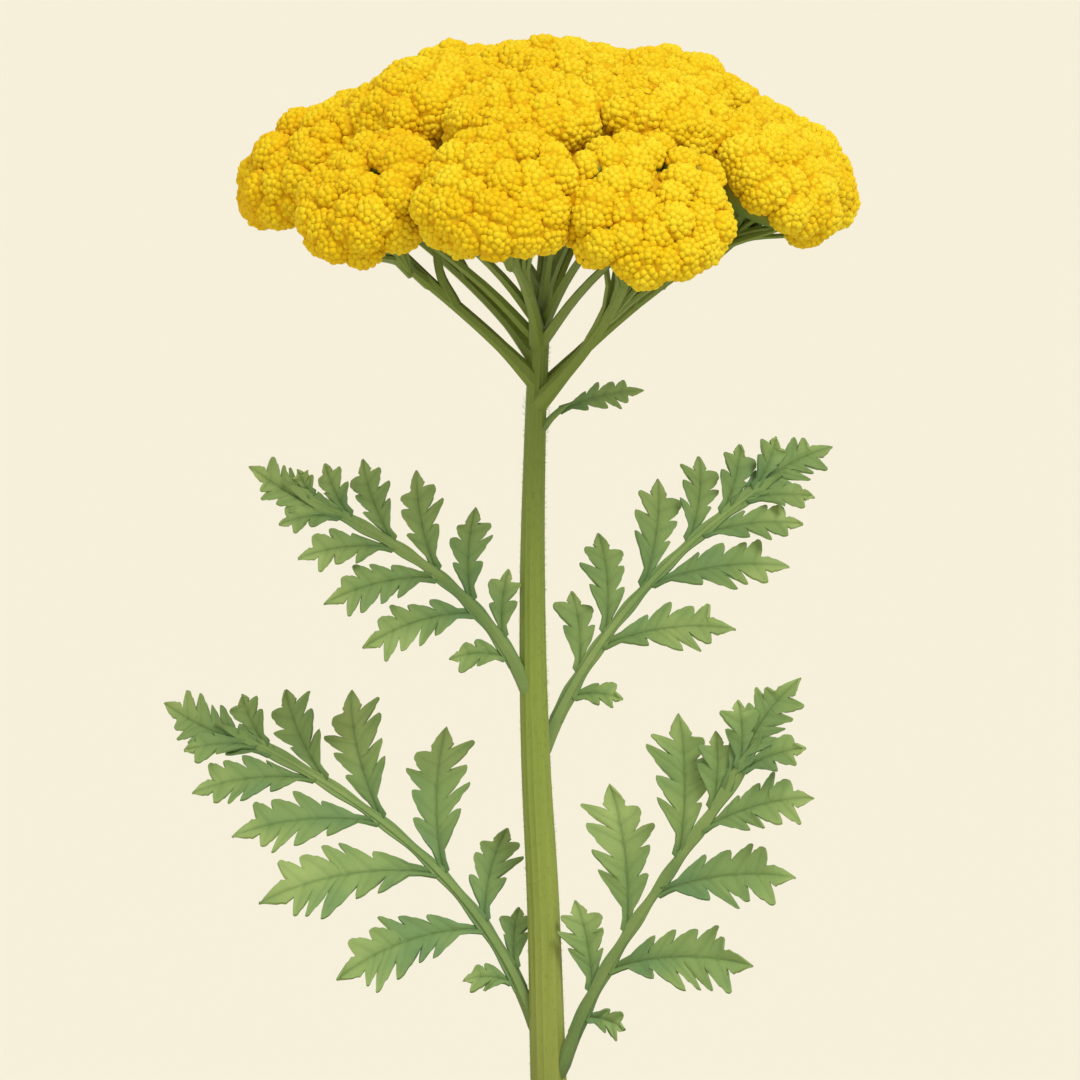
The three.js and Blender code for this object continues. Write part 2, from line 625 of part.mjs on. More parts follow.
const plant = new THREE.Group();
plant.add(meshOf('stem', stem, 'stem'));
clusters.forEach((cluster, i) => {
  plant.add(meshOf(`flower_cluster_${String(i + 1).padStart(2, '0')}`, cluster, 'floret'));
});

const towardsViewer = new THREE.Vector3(0, -1, 0);
for (const [name, spec] of Object.entries(STEM_LEAVES)) {
  const leaf = featherLeaf({ ...spec, facing: towardsViewer });
  plant.add(meshOf(name, largestBody(leaf.subtract(stemRoom)), 'leaf'));
}

let compost = compostBlock().subtract(stemRoom);
LOW_LEAVES.forEach((spec, i) => {
  const petiole = new THREE.CubicBezierCurve3(...lowLeafMidrib(spec).map(vector));
  const room = tube(petiole, () => MIDRIB_HALF_WIDTH.foot + 2.5 * GAP, 6, MIDRIB_STEPS, GAP);
  compost = compost.subtract(room);
  plant.add(meshOf(`low_leaf_${i + 1}`, lowLeaf(spec), 'leaf'));
});

export const part = new THREE.Group();
part.add(meshOf('pot', clayPot(), 'clay'));
part.add(meshOf('compost', largestBody(compost), 'compost'));
part.add(plant);

export default part;
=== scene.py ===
"""A potted yarrow: a domed golden head of button florets on a branching stem, lobed feather
leaves, a low rosette, compost and a plain clay pot. Lengths are in millimetres until a mesh is made."""
import json
import math

import bpy
import numpy as np
from mathutils import Matrix, Vector, noise

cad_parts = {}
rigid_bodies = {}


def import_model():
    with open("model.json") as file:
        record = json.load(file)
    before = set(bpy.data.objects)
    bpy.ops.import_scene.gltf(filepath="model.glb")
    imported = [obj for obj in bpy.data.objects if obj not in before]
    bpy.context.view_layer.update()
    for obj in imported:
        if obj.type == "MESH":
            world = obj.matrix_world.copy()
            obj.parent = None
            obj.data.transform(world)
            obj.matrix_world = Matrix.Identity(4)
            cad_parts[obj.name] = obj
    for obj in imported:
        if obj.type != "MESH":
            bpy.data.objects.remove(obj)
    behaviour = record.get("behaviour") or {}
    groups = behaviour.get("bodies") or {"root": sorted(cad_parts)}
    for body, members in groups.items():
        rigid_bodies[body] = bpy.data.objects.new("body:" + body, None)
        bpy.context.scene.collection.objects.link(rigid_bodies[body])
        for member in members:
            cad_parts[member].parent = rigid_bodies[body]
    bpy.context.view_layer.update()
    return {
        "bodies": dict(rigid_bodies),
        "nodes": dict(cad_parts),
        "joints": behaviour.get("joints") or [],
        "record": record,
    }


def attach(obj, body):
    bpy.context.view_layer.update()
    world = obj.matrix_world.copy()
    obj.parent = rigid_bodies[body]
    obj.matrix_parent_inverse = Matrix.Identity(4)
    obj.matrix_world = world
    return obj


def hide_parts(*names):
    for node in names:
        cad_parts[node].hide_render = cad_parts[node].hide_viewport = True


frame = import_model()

bl_info = {
    "name": "Potted Yarrow",
    "version": (1, 0, 0),
    "blender": (4, 5, 0),
    "location": "3D View > Sidebar > Yarrow",
    "description": "Models a potted yarrow with a golden flower head, and the plain stage it stands on",
    "category": "Add Mesh",
}

MM = 0.001

# The stem's centre line, and its radius as (height, radius) along it, with a swelling at the fork
STEM_LINE = [
    (1.4, 0, 84), (1, 0, 120), (-0.1, 0, 150), (-1.2, -0.3, 186), (-2.7, -0.6, 216),
    (-3.3, -0.6, 246), (-2.9, -0.3, 276), (-2, 0, 298), (-0.4, 0.6, 318), (0.6, 1.4, 341),
]
STEM_RADII = [
    (84, 3.7), (150, 3.65), (242, 2.65), (277, 2.2), (284, 2.6), (291, 2.25), (300, 1.95), (341, 1.3),
]

# The bunches of the head: azimuth in degrees, reach from the axis, height and radius
BUNCHES = [
    (60, 2, 348.4, 16.5),
    (200, 26, 344.6, 16.6), (259, 25, 342.6, 15.6), (319, 27, 343.6, 16),
    (20, 27, 345, 16.4), (80, 26, 345.4, 16), (140, 26, 345.4, 16.2),
    (184, 46, 333.4, 17.6), (222, 45, 328.6, 15.2), (258, 46, 331.8, 16.4), (293, 47, 328.2, 17.4),
    (337, 45.5, 332, 16.2), (8, 47, 332.4, 16.6), (43, 46.5, 333.4, 16.8), (78, 46.5, 334, 16.8),
    (114, 46.5, 334, 16.8), (149, 46.5, 333.6, 17),
]
# The dome of the whole head: radius, height and the level of its edge
HEAD_RADIUS = 63
HEAD_RISE = 38
HEAD_LEVEL = 322.3
# A bunch: its height above and below its centre as shares of its radius, and its inner core's share
BUNCH_TOP_SHARE = 0.72
BUNCH_UNDER_SHARE = 0.46
BUNCH_CORE_SHARE = 0.78
# Bunches closer than this share of the sum of their radii are parted by a plane
NEIGHBOUR_SPAN = 1.2
# Puffs: number in a bunch, level of the lowest, scatter, how far they stand in from the bunch's
# radius and out again, how deep the deepest sinks, and how far those in the valleys are raised
PUFFS_IN_BUNCH = 48
LOWEST_PUFF = -0.3
PUFF_SHIFT = 0.12
PUFF_RISE = (0.8, 1.5)
PUFF_SUNK = 1.9
VALLEY_LIFT = 0.5
# Where the picture shows a bunch without puffs: the bunch and the way that its bare side faces,
# and the cosine to that way up to which puffs stay
BARE_SIDES = {11: (-0.8, -0.4, -0.45)}
BARE_COSINE = 0.5
# Buttons: how low they reach round a puff, how deep they sink in it, the height and the width of
# their rim, and for each of three shapes the height of its dome and the length of its short rays
LOWEST_BUTTON = -0.25
BUTTON_SINK = 0.42
BUTTON_RIM = 0.3
BUTTON_RIM_SHARE = 0.66
BUTTON_DOMES = ((0.5, 0.86), (0.42, 0.9), (0.58, 0.8))
# How much of a button's tone is its own, its puff's, and painted light by its side of the head: paler
# gold towards the key sun, deeper gold as painted shade away from it
RIPENESS_AND_PAINTED_LIGHT_SHARES = (0.22, 0.33, 0.45)
GOLDEN_ANGLE = math.pi * (3 - math.sqrt(5))
UP = Vector((0, 0, 1))

# Branches: height on the stem, the bend's azimuth, reach and height, the bunch that the limb runs
# out to, and the bunches that its side twigs carry
BRANCHES = [
    (290.5, 200, 19, 309, 7, 1, 8),
    (286, 312, 23, 308, 10, 3, 11),
    (288, 25, 21, 310, 12, 4, 13),
    (292.6, 94, 19, 311, 14, 5, 15),
    (295, 148, 18, 313, 16, 6),
    (298, 258, 16, 314, 9, 2),
]
# Radii at the foot and at the tip, the share of a limb at which the first twig leaves it, how much
# further the next one does, how far a twig runs straight at its ends, and heights on the crown's stalk
LIMB_RADII = (1.45, 0.9)
TWIG_RADII = (1.0, 0.7)
TWIG_FORK = 0.44
TWIG_SPACING = 0.12
TWIG_LEVER = 8
CROWN_STALK = (306, 318, 330, 341)
# Branchlets on each branch, and thin branches that leave the stem under the head, each as its
# height on the stem and its end. The radii of both, and of the stalks, are at foot, bend and tip
BRANCHLETS = 11
BRANCHLET_RADII = (0.75, 0.65, 0.5)
SPRAY_RADII = (1.25, 0.95, 0.7)
STALK_RADII = (0.75, 0.55, 0.42)
SPRAYS = [
    (299, (-27, -28, 325)), (302, (-19, -38, 326)), (306, (-10, -40, 327)), (304, (1, -38, 327)),
    (301, (9, -36, 324)), (298, (15, -42, 323)), (309, (-15, -26, 330)), (308, (8, -24, 330)),
    (303, (12, 34, 328)), (305, (-12, 32, 328)),
]
# Down: hairs in all, the heights between which they grow, and half the width of one
HAIRS = 2600
HAIRY_SPAN = (116, 300)
HAIR_HALF_WIDTH = 0.045

# Leaves: the midrib as a cubic curve, then the leaflets on its upper and its lower side, each
# (share of the way along, length, angle to the midrib), how far the tip is past the midrib's end,
# the blade's roll, how slim the leaflets are and the end blade, which is also all of the bract's
# blade: (share of the midrib at which it begins, lobes, width)
STEM_LEAVES = {
    "stem_leaf_lower_left": dict(
        midrib=[(-1, 0, 155), (-11, 3.7, 191), (-41, 7.3, 208), (-67, 11, 220.4)],
        upper=[(0.18, 14, 26), (0.3, 21, 44), (0.43, 32, 39),
               (0.6, 29, 33), (0.74, 22, 28), (0.88, 13, 30)],
        lower=[(0.16, 11, 54), (0.29, 33, 67), (0.44, 39, 49),
               (0.6, 32, 37), (0.76, 27, 32), (0.9, 16, 26)],
        tip=14, roll=22, left=True, slim=0.92, end=(0.86, 5, 9),
    ),
    "stem_leaf_lower_right": dict(
        midrib=[(1.4, -1, 148), (9.5, -5.7, 178), (30, -10.3, 198.4), (42.4, -15, 221.8)],
        upper=[(0.25, 20, 32), (0.42, 32, 34), (0.64, 31, 30), (0.78, 17, 26), (0.9, 15, 28)],
        lower=[(0.19, 9, 70), (0.32, 33, 48), (0.54, 32, 39), (0.73, 27, 30), (0.9, 16, 29)],
        tip=16, roll=-22, left=False, slim=0.94, end=(0.84, 5, 9),
    ),
    "stem_leaf_upper_left": dict(
        midrib=[(-3, -1, 225), (-12, -5.3, 253), (-37, -9.7, 262), (-53, -14, 272.6)],
        upper=[(0.22, 15, 34), (0.36, 20, 42), (0.49, 22, 35),
               (0.64, 19, 32), (0.78, 13, 30), (0.9, 7, 26)],
        lower=[(0.17, 13, 50), (0.33, 26, 54), (0.48, 26, 42), (0.63, 22, 30), (0.81, 14, 28)],
        tip=9, roll=20, left=True, slim=0.8, end=(0.8, 5, 7.4),
    ),
    "stem_leaf_upper_right": dict(
        midrib=[(-2.6, 1, 212), (6, 4.7, 238), (26, 8.3, 258), (47, 12, 271)],
        upper=[(0.27, 18, 30), (0.39, 22, 34), (0.54, 24, 28),
               (0.7, 19, 34), (0.81, 16, 30), (0.91, 13, 25)],
        lower=[(0.21, 11, 58), (0.36, 29, 42), (0.56, 30, 34), (0.74, 22, 29), (0.88, 15, 28)],
        tip=14, roll=-20, left=False, slim=0.86, end=(0.84, 5, 8),
    ),
    "bract_leaf": dict(
        midrib=[(-2, -0.4, 280.5), (3, -2, 288.4), (9, -4, 289.2), (15, -5.5, 289.8)],
        tip=5, roll=-15, size=0.6, end=(0.3, 4, 5),
    ),
}
# Low leaves: azimuth in degrees, reach of the tip and height of the arch, then the leaflets on each
# side, and how far the tip is past the midrib's end
LOW_LEAVES = [(4, 79, 139), (76, 79, 135), (141, 77, 133), (214, 76, 138), (287, 80, 142)]
LOW_LEAFLETS = [(0.38, 15, 58), (0.54, 20, 54), (0.7, 19, 46), (0.86, 14, 38)]
LOW_LEAF_TIP = 14

# Midrib: half its width at the foot and at the tip, and the share at which its green wing begins
MIDRIB_HALF_WIDTH = (1.65, 0.5)
WING_BEGINS = 0.14
# Leaflets: rise, pitch and bend in degrees, and the width by the leaf's size and by the length
LEAFLET_RISE = 8
LEAFLET_PITCH = 12
LEAFLET_BEND = 12
LEAFLET_WIDTH = (2.8, 0.3)
# Lobes: length of one, the shares of a leaflet at which they begin and end, the place of the tip in
# a lobe, the share of the width that notches leave on the rear and on the front side, how much
# less the last lobes sweep forward, and the rows that draw one lobe and the end past the last one
LOBE_LENGTH = 7.2
LOBE_FIRST = 0.12
LOBE_LAST = 0.79
LOBE_PEAK = 0.6
LOBE_FLOORS = (0.32, 0.46)
LOBE_FADING = 0.62
LOBE_ROWS = (0, 0.09, 0.19, 0.3, 0.4, 0.5, 0.6, 0.72, 0.84, 0.94)
END_ROWS = (0, 0.12, 0.25, 0.4, 0.55, 0.7, 0.86, 1)

# Clay pot: height, outside radii, the shoulder's radius and height, wall, floor and drainage hole,
# and the spacing and depth of its turning rings
POT_HEIGHT = 124
POT_FOOT_RADIUS = 45
POT_SHOULDER = (62, 97)
POT_RIM_RADIUS = 70
POT_WALL = 6
POT_FLOOR = 8
DRAIN_RADIUS = 7
RING_SPACING = 3.1
RING_DEPTH = 0.12
# Compost: height at the middle, how much lower it is at the wall, its gap to the pot, the sizes of
# crumbs with their shares, and the share of perlite
COMPOST_TOP = 110
COMPOST_MOUND = 3
COMPOST_GAP = 0.5
CRUMB_SIZES = (0.7, 1.0, 1.5, 2.2)
CRUMB_SHARES = (0.3, 0.34, 0.26, 0.1)
PERLITE_SHARE = 0.03

# Stage: the middle of the picture, its width there and the camera's distance, all in millimetres,
# then the strength of the light all round, and each sun's azimuth, height, share of the main
# strength and angle of spread
PICTURE_MIDDLE = (-1.8, 0, 259)
PICTURE_WIDTH = 216
CAMERA_DISTANCE = 4000
WORLD_STRENGTH = 0.58
SUNS = {"key": (-55, 48, 1, 25), "fill": (-140, 35, 0.25, 60)}


def length_property(name, description, default):
    """A setting in millimetres."""
    return bpy.props.FloatProperty(name=name, description=description, default=default, min=0)


def count_property(name, description, default):
    """A setting that counts."""
    return bpy.props.IntProperty(name=name, description=description, default=default, min=5)


def colour_property(name, description, hex_colour):
    """A setting that holds a colour."""
    return bpy.props.FloatVectorProperty(
        name=name, description=description, default=linear(hex_colour)[:3],
        subtype="COLOR", size=3, min=0, max=1,
    )


def linear(hex_colour):
    """A linear colour with full alpha from an sRGB hex value."""
    parts = [int(hex_colour[i:i + 2], 16) / 255 for i in (1, 3, 5)]
    return tuple(c / 12.92 if c <= 0.04045 else ((c + 0.055) / 1.055) ** 2.4 for c in parts) + (1.0,)


class FlowerSettings(bpy.types.PropertyGroup):
    button_width: length_property("Button width", "Width of one button floret in millimetres", 1.85)
    button_spacing: length_property("Button spacing", "Distance between buttons in millimetres", 1.45)
    puff_radius: length_property("Puff radius", "Radius of a puff of buttons in millimetres", 4.05)
    gold: colour_property("Gold", "Colour of open buttons", "#E3BC06")


class LeafSettings(bpy.types.PropertyGroup):
    blade: length_property("Blade", "Thickness of a leaf blade in millimetres", 0.5)
    vein_depth: length_property("Vein depth", "Depth of the midvein's groove in millimetres", 0.28)
    green: colour_property("Leaf green", "Middle colour of the leaves", "#7A9352")


class StemSettings(bpy.types.PropertyGroup):
    ridges: count_property("Ridges", "Fine ridges round the stem", 15)
    hair_length: length_property("Hair length", "Length of the stem's down in millimetres", 0.7)
    green: colour_property("Stem green", "Middle colour of the stem", "#7F9039")


class PotSettings(bpy.types.PropertyGroup):
    clay: colour_property("Clay", "Colour of the fired clay", "#B5673F")
    crumbs: count_property("Crumbs", "Loose crumbs on the compost", 2400)


class StageSettings(bpy.types.PropertyGroup):
    floor: colour_property("Floor", "Colour of the floor", "#E6E1D1")
    sun: bpy.props.FloatProperty(
        name="Sun", description="Strength of the main light", default=2.2, min=0)
    elevation: bpy.props.FloatProperty(
        name="Elevation", description="Height of the camera above the level", subtype="ANGLE",
        default=math.radians(8),
    )


# Modelling helpers

def deselect():
    bpy.ops.object.select_all(action="DESELECT")


def pick(*pieces):
    """Selects only these pieces and makes the first one active."""
    deselect()
    for piece in pieces:
        piece.select_set(True)
    bpy.context.view_layer.objects.active = pieces[0]


def made(operator, **settings):
    """The object that an operator adds."""
    deselect()
    operator(**settings)
    return bpy.context.object


def joined(name, objects):
    """Several mesh objects as one."""
    pick(*objects)
    if len(objects) > 1:
        bpy.ops.object.join()
    whole = bpy.context.object
    whole.name = whole.data.name = name
    return whole


def modifier(piece, kind, **settings):
    """Adds a modifier with its settings and applies it."""
    pick(piece)
    bpy.ops.object.modifier_add(type=kind)
    added = piece.modifiers[-1]
    for name, value in settings.items():
        setattr(added, name, value)
    bpy.ops.object.modifier_apply(modifier=added.name)


def weld(threshold, outward=True):
    """Joins the vertices of the active piece that lie together, and turns its faces outward."""
    bpy.ops.object.mode_set(mode="EDIT")
    bpy.ops.mesh.select_all(action="SELECT")
    bpy.ops.mesh.remove_doubles(threshold=threshold)
    if outward:
        bpy.ops.mesh.normals_make_consistent(inside=False)
    bpy.ops.object.mode_set(mode="OBJECT")


def remove(*objects):
    for item in objects:
        bpy.data.objects.remove(item, do_unlink=True)


def corners_of(piece):
    """The vertices of a plain shape that is scaled later, as they are."""
    return np.array([tuple(v.co) for v in piece.data.vertices])


def taken(piece):
    """The vertices and faces of a shape that is only there to be copied, and goes."""
    shape = corners_of(piece), [tuple(p.vertices) for p in piece.data.polygons]
    remove(piece)
    return shape


def points_of(piece):
    """The vertices of a mesh in millimetres."""
    flat = np.empty(len(piece.data.vertices) * 3)
    piece.data.vertices.foreach_get("co", flat)
    return flat.reshape(-1, 3) / MM


def move_points(piece, points):
    """Moves the vertices of a mesh to places in millimetres."""
    piece.data.vertices.foreach_set("co", (np.asarray(points) * MM).ravel())
    piece.data.update()


def tint(piece, values):
    """Stores three numbers for each vertex, which the material reads."""
    layer = piece.data.color_attributes.new(name="tint", type="FLOAT_COLOR", domain="POINT")
    layer.data.foreach_set("color", np.column_stack([values, np.ones(len(values))]).ravel())


def mesh_from(name, points, faces):
    """A mesh object from vertices in millimetres and faces."""
    data = bpy.data.meshes.new(name)
    data.from_pydata((points * MM).tolist(), [], faces)
    piece = bpy.data.objects.new(name, data)
    bpy.context.scene.collection.objects.link(piece)
    return piece


class Heap:
    """Copied shapes with their tints, gathered for one mesh."""

    def __init__(self):
        self.points, self.faces, self.tints, self.count = [], [], [], 0

    def add(self, points, faces, tints):
        self.points.append(points)
        self.faces.extend(tuple(self.count + v for v in face) for face in faces)
        self.tints.append(tints)
        self.count += len(points)

    def mesh(self, name):
        piece = mesh_from(name, np.concatenate(self.points), self.faces)
        tint(piece, np.concatenate(self.tints))
        return piece


def smooth(piece, degrees):
    pick(piece)
    bpy.ops.object.shade_smooth_by_angle(angle=math.radians(degrees))


def settle(piece, material, slot, *nodes):
    """Gives a finished piece its material and its place in the frame."""
    piece.data.materials.clear()
    piece.data.materials.append(material)
    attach(piece, "root")
    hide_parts(*nodes)


def polar(azimuth, reach, height):
    """The point at an azimuth in degrees, a reach from the upright axis and a height."""
    turn = math.radians(azimuth)
    return np.array([reach * math.cos(turn), reach * math.sin(turn), height])


def unit(vector):
    return vector / np.linalg.norm(vector)


def turned_about(vector, axis, degrees):
    return np.array(Matrix.Rotation(math.radians(degrees), 3, Vector(axis)) @ Vector(vector))


def draw(a, b):
    """A seeded draw between 0 and 1, the same for the same pair of whole numbers."""
    wave = math.sin(a * 127.1 + b * 311.7) * 43758.5453
    return wave - math.floor(wave)


class CubicPath:
    """A cubic curve that is walked by the share of its length."""

    def __init__(self, corners):
        self.corners = np.array(corners, float)
        self.parameters = np.linspace(0, 1, 201)
        points = self.at_parameter(self.parameters)
        steps = np.linalg.norm(np.diff(points, axis=0), axis=1)
        self.shares = np.concatenate([[0], np.cumsum(steps)]) / steps.sum()

    def at_parameter(self, t):
        t = np.atleast_1d(t)[:, None]
        a, b, c, d = self.corners
        return (1 - t) ** 3 * a + 3 * (1 - t) ** 2 * t * b + 3 * (1 - t) * t ** 2 * c + t ** 3 * d

    def point(self, share):
        """The point at a share of the curve's length."""
        return self.at_parameter(np.interp(share, self.shares, self.parameters))[0]

    def along(self, share):
        """The way that the curve runs at a share of its length."""
        t = np.interp(share, self.shares, self.parameters)
        low, high = max(0, t - 1e-3), min(1, t + 1e-3)
        return unit(self.at_parameter(high)[0] - self.at_parameter(low)[0])


def ribbed_section(ribs, depth):
    """A closed outline of radius 1 with fine ribs, for a tube to follow."""
    outline = made(bpy.ops.curve.primitive_bezier_circle_add, radius=1)
    outline.data.splines.clear()
    spline = outline.data.splines.new("POLY")
    count = ribs * 2 if depth else ribs
    spline.points.add(count - 1)
    for i, point in enumerate(spline.points):
        turn = 2 * math.pi * i / count
        reach = 1 - depth * (i % 2)
        point.co = (reach * math.cos(turn), reach * math.sin(turn), 0, 1)
    spline.use_cyclic_u = True
    return outline


def tubes(name, runs, section, resolution):
    """Tubes along smooth curves, each run a list of (point, radius), as one closed mesh."""
    piece = made(bpy.ops.curve.primitive_bezier_curve_add)
    curve = piece.data
    curve.splines.clear()
    curve.dimensions = "3D"
    curve.resolution_u = resolution
    for run in runs:
        spline = curve.splines.new("BEZIER")
        spline.bezier_points.add(len(run) - 1)
        for knot, (point, radius) in zip(spline.bezier_points, run):
            knot.co = Vector(point) * MM
            knot.radius = radius * MM
            knot.handle_left_type = knot.handle_right_type = "AUTO"
    curve.bevel_mode = "OBJECT"
    curve.bevel_object = section
    curve.use_fill_caps = True
    pick(piece)
    bpy.ops.object.convert(target="MESH")
    piece = bpy.context.object
    piece.name = name
    weld(1e-7)
    return piece


def turned_shape(name, profile, sides):
    """A turned shape: a ring that is drawn out through (radius, height) points, then closed."""
    (radius, height), *rest = profile
    piece = made(bpy.ops.mesh.primitive_circle_add, vertices=sides, radius=radius * MM)
    bpy.ops.object.mode_set(mode="EDIT")
    bpy.ops.transform.translate(value=(0, 0, height * MM))
    for next_radius, next_height in rest:
        bpy.ops.mesh.extrude_region_move(
            TRANSFORM_OT_translate={"value": (0, 0, (next_height - height) * MM)})
        growth = next_radius / radius
        bpy.ops.transform.resize(value=(growth, growth, 1), center_override=(0, 0, 0))
        radius, height = next_radius, next_height
    weld(2e-5)
    piece.name = piece.data.name = name
    return piece


# Materials

def add(material, kind, settings=None, inputs=None, stops=()):
    """Adds a node with its settings, its inputs and, on a ramp, its colour stops. An input is a fixed
    value, a socket, or a node whose first output it takes."""
    node = material.node_tree.nodes.new("ShaderNode" + kind)
    for name, value in (settings or {}).items():
        setattr(node, name, value)
    for name, value in (inputs or {}).items():
        if isinstance(value, bpy.types.Node):
            value = value.outputs[0]
        if isinstance(value, bpy.types.NodeSocket):
            material.node_tree.links.new(value, node.inputs[name])
        else:
            node.inputs[name].default_value = value
    for i, (position, colour) in enumerate(stops):
        stop = node.color_ramp.elements[i] if i < 2 else node.color_ramp.elements.new(position)
        stop.position = position
        stop.color = linear(colour) if isinstance(colour, str) else (*colour, 1.0)
    return node


def new_material(name, **principled):
    """A material with its shader's fixed values, and its object coordinates."""
    material = bpy.data.materials.new(name)
    material.use_nodes = True
    shader = material.node_tree.nodes["Principled BSDF"]
    for socket, value in principled.items():
        shader.inputs[socket.replace("_", " ")].default_value = value
    return material, add(material, "TexCoord").outputs["Object"]


def tint_parts(material):
    """The three numbers that each vertex stores, by the names Red, Green and Blue."""
    stored = add(material, "Attribute", {"attribute_name": "tint"})
    return add(material, "SeparateColor", inputs={"Color": stored}).outputs


def dress(material, colour, relief, strength, depth):
    """Joins the colour and the relief to the shader. The depth is in millimetres."""
    shader = material.node_tree.nodes["Principled BSDF"]
    material.node_tree.links.new(colour, shader.inputs["Base Color"])
    bump = add(material, "Bump", inputs={"Strength": strength, "Distance": depth * MM, "Height": relief})
    material.node_tree.links.new(bump.outputs["Normal"], shader.inputs["Normal"])
    return material


def golden_button(settings):
    """Yarrow button: dry papery florets, so quite matt. Buttons differ in how ripe they are, and
    the cup of bracts under each is olive green. Painted light and shade: the side of the head
    towards the key sun is a paler gold, and its far side, puff rims and crowded buttons a deeper gold."""
    material, place = new_material(
        "yarrow_gold", Roughness=0.8, Specular_IOR_Level=0.2,
        Subsurface_Weight=0.2, Subsurface_Scale=0.0015)
    tints = tint_parts(material)
    wash = add(material, "TexNoise", inputs={"Vector": place, "Scale": 70, "Detail": 3})
    faint = add(material, "Math", {"operation": "MULTIPLY"}, {0: wash, 1: 0.34})
    # Painted shade: the third stored number, lower at puff rims and close to neighbouring puffs, moves a
    # button towards the deeper gold
    inner = add(material, "Math", {"operation": "MULTIPLY_ADD"}, {0: tints["Blue"], 1: 0.3, 2: faint})
    # Painted light: the second stored number mixes each button's own tone with its side of the head,
    # paler towards the key sun and a deeper gold as painted shade away from it
    ripeness_and_painted_light = add(material, "Math", {"operation": "MULTIPLY_ADD"}, {
        0: tints["Green"], 1: 0.5, 2: inner})
    petals = add(material, "ValToRGB", inputs={"Fac": ripeness_and_painted_light}, stops=[
        (0.25, "#D8A402"), (0.54, settings.gold), (0.85, "#EACE24")])
    open_share = add(material, "ValToRGB", inputs={"Fac": tints["Red"]}, stops=[
        (0.0, "#000000"), (0.55, "#FFFFFF")])
    whole = add(material, "Mix", {"data_type": "RGBA"}, {0: open_share, 6: linear("#5F7A33"), 7: petals})
    # Disc florets are about 0.35 mm across: they show as a fine grain
    grain = add(material, "TexVoronoi", inputs={"Vector": place, "Scale": 2600})
    return dress(material, whole.outputs[2], grain, 0.2, 0.2)


def downy_leaf(settings):
    """Yarrow leaf: soft and downy, so matt with a pale sheen at glancing angles. The blade is washed
    from blue-green to yellow-green, darker along the veins and at the foot of each leaflet."""
    material, place = new_material(
        "yarrow_leaf", Roughness=0.7, Specular_IOR_Level=0.3, Sheen_Weight=0.08)
    tints = tint_parts(material)
    # Washes of tone 8 to 15 mm across
    wash = add(material, "TexNoise", inputs={"Vector": place, "Scale": 90, "Detail": 4})
    patch = add(material, "Math", {"operation": "MULTIPLY_ADD"}, {0: wash, 1: 0.7, 2: -0.06})
    tone = add(material, "Math", {"operation": "MULTIPLY_ADD"}, {0: tints["Green"], 1: 0.35, 2: patch})
    blade = add(material, "ValToRGB", inputs={"Fac": tone}, stops=[
        (0.22, "#628250"), (0.46, settings.green), (0.8, "#9CAE66")])
    veined = add(material, "Mix", {"data_type": "RGBA"}, {
        0: tints["Red"], 6: blade, 7: linear("#506A34")})
    # Net veins about 0.9 mm apart
    net = add(material, "TexVoronoi", {"feature": "DISTANCE_TO_EDGE"}, {"Vector": place, "Scale": 1100})
    return dress(material, veined.outputs[2], net, 0.3, 0.2)


def downy_stem(settings):
    """Yarrow stem: furrowed and finely downy, satin where the ridges are rubbed. It pales and turns
    yellow towards the foot, and is darkest at the forks under the head."""
    material, place = new_material(
        "yarrow_stem", Roughness=0.6, Specular_IOR_Level=0.35, Sheen_Weight=0.05)
    height = add(material, "SeparateXYZ", inputs={"Vector": place}).outputs["Z"]
    level = add(material, "MapRange", inputs={"Value": height, "From Min": 0.11, "From Max": 0.34})
    # Streaks run with the ridges: fine across the stem, long up it
    stretch = add(material, "Mapping", inputs={"Vector": place, "Scale": (1, 1, 0.03)})
    streak = add(material, "TexNoise", inputs={"Vector": stretch, "Scale": 900, "Detail": 3})
    green_share = add(material, "Math", {"operation": "MULTIPLY"}, {0: level, 1: 0.7})
    tone = add(material, "Math", {"operation": "MULTIPLY_ADD"}, {0: streak, 1: 0.35, 2: green_share})
    colour = add(material, "ValToRGB", inputs={"Fac": tone}, stops=[
        (0.2, "#979F49"), (0.5, settings.green), (0.9, "#72863A")])
    return dress(material, colour.outputs[0], streak, 0.4, 0.3)


def fired_clay(settings):
    """Unglazed terracotta: porous and matt, turned on a wheel so it has faint rings, with pale lime
    bloom in patches where water has dried, and a fine sandy grain."""
    material, place = new_material("terracotta", Roughness=0.88, Specular_IOR_Level=0.3)
    patches = add(material, "TexNoise", inputs={"Vector": place, "Scale": 28, "Detail": 6})
    base = add(material, "ValToRGB", inputs={"Fac": patches}, stops=[
        (0.3, "#A65A35"), (0.5, settings.clay), (0.72, "#C47B52")])
    height = add(material, "SeparateXYZ", inputs={"Vector": place}).outputs["Z"]
    low = add(material, "MapRange", inputs={
        "Value": height, "From Min": 0.07, "From Max": 0.0, "To Min": 0.3, "To Max": 1.0})
    clouds = add(material, "TexNoise", inputs={"Vector": place, "Scale": 45, "Detail": 8})
    bloom = add(material, "ValToRGB", inputs={"Fac": clouds}, stops=[
        (0.5, "#000000"), (0.72, "#FFFFFF")])
    faint = add(material, "Math", {"operation": "MULTIPLY"}, {0: low, 1: 0.55})
    share = add(material, "Math", {"operation": "MULTIPLY"}, {0: bloom, 1: faint})
    limed = add(material, "Mix", {"data_type": "RGBA"}, {0: share, 6: base, 7: linear("#D9B79C")})
    # Sandy grain of about 0.6 mm, and turning rings 5 mm apart
    grain = add(material, "TexNoise", inputs={"Vector": place, "Scale": 1500, "Detail": 4})
    rings = add(material, "TexWave", {"bands_direction": "Z"}, {
        "Vector": place, "Scale": 63, "Distortion": 1.2, "Detail": 2})
    relief = add(material, "Math", {"operation": "MULTIPLY_ADD"}, {
        0: rings.outputs["Fac"], 1: 0.5, 2: grain})
    return dress(material, limed.outputs[2], relief, 0.4, 0.4)


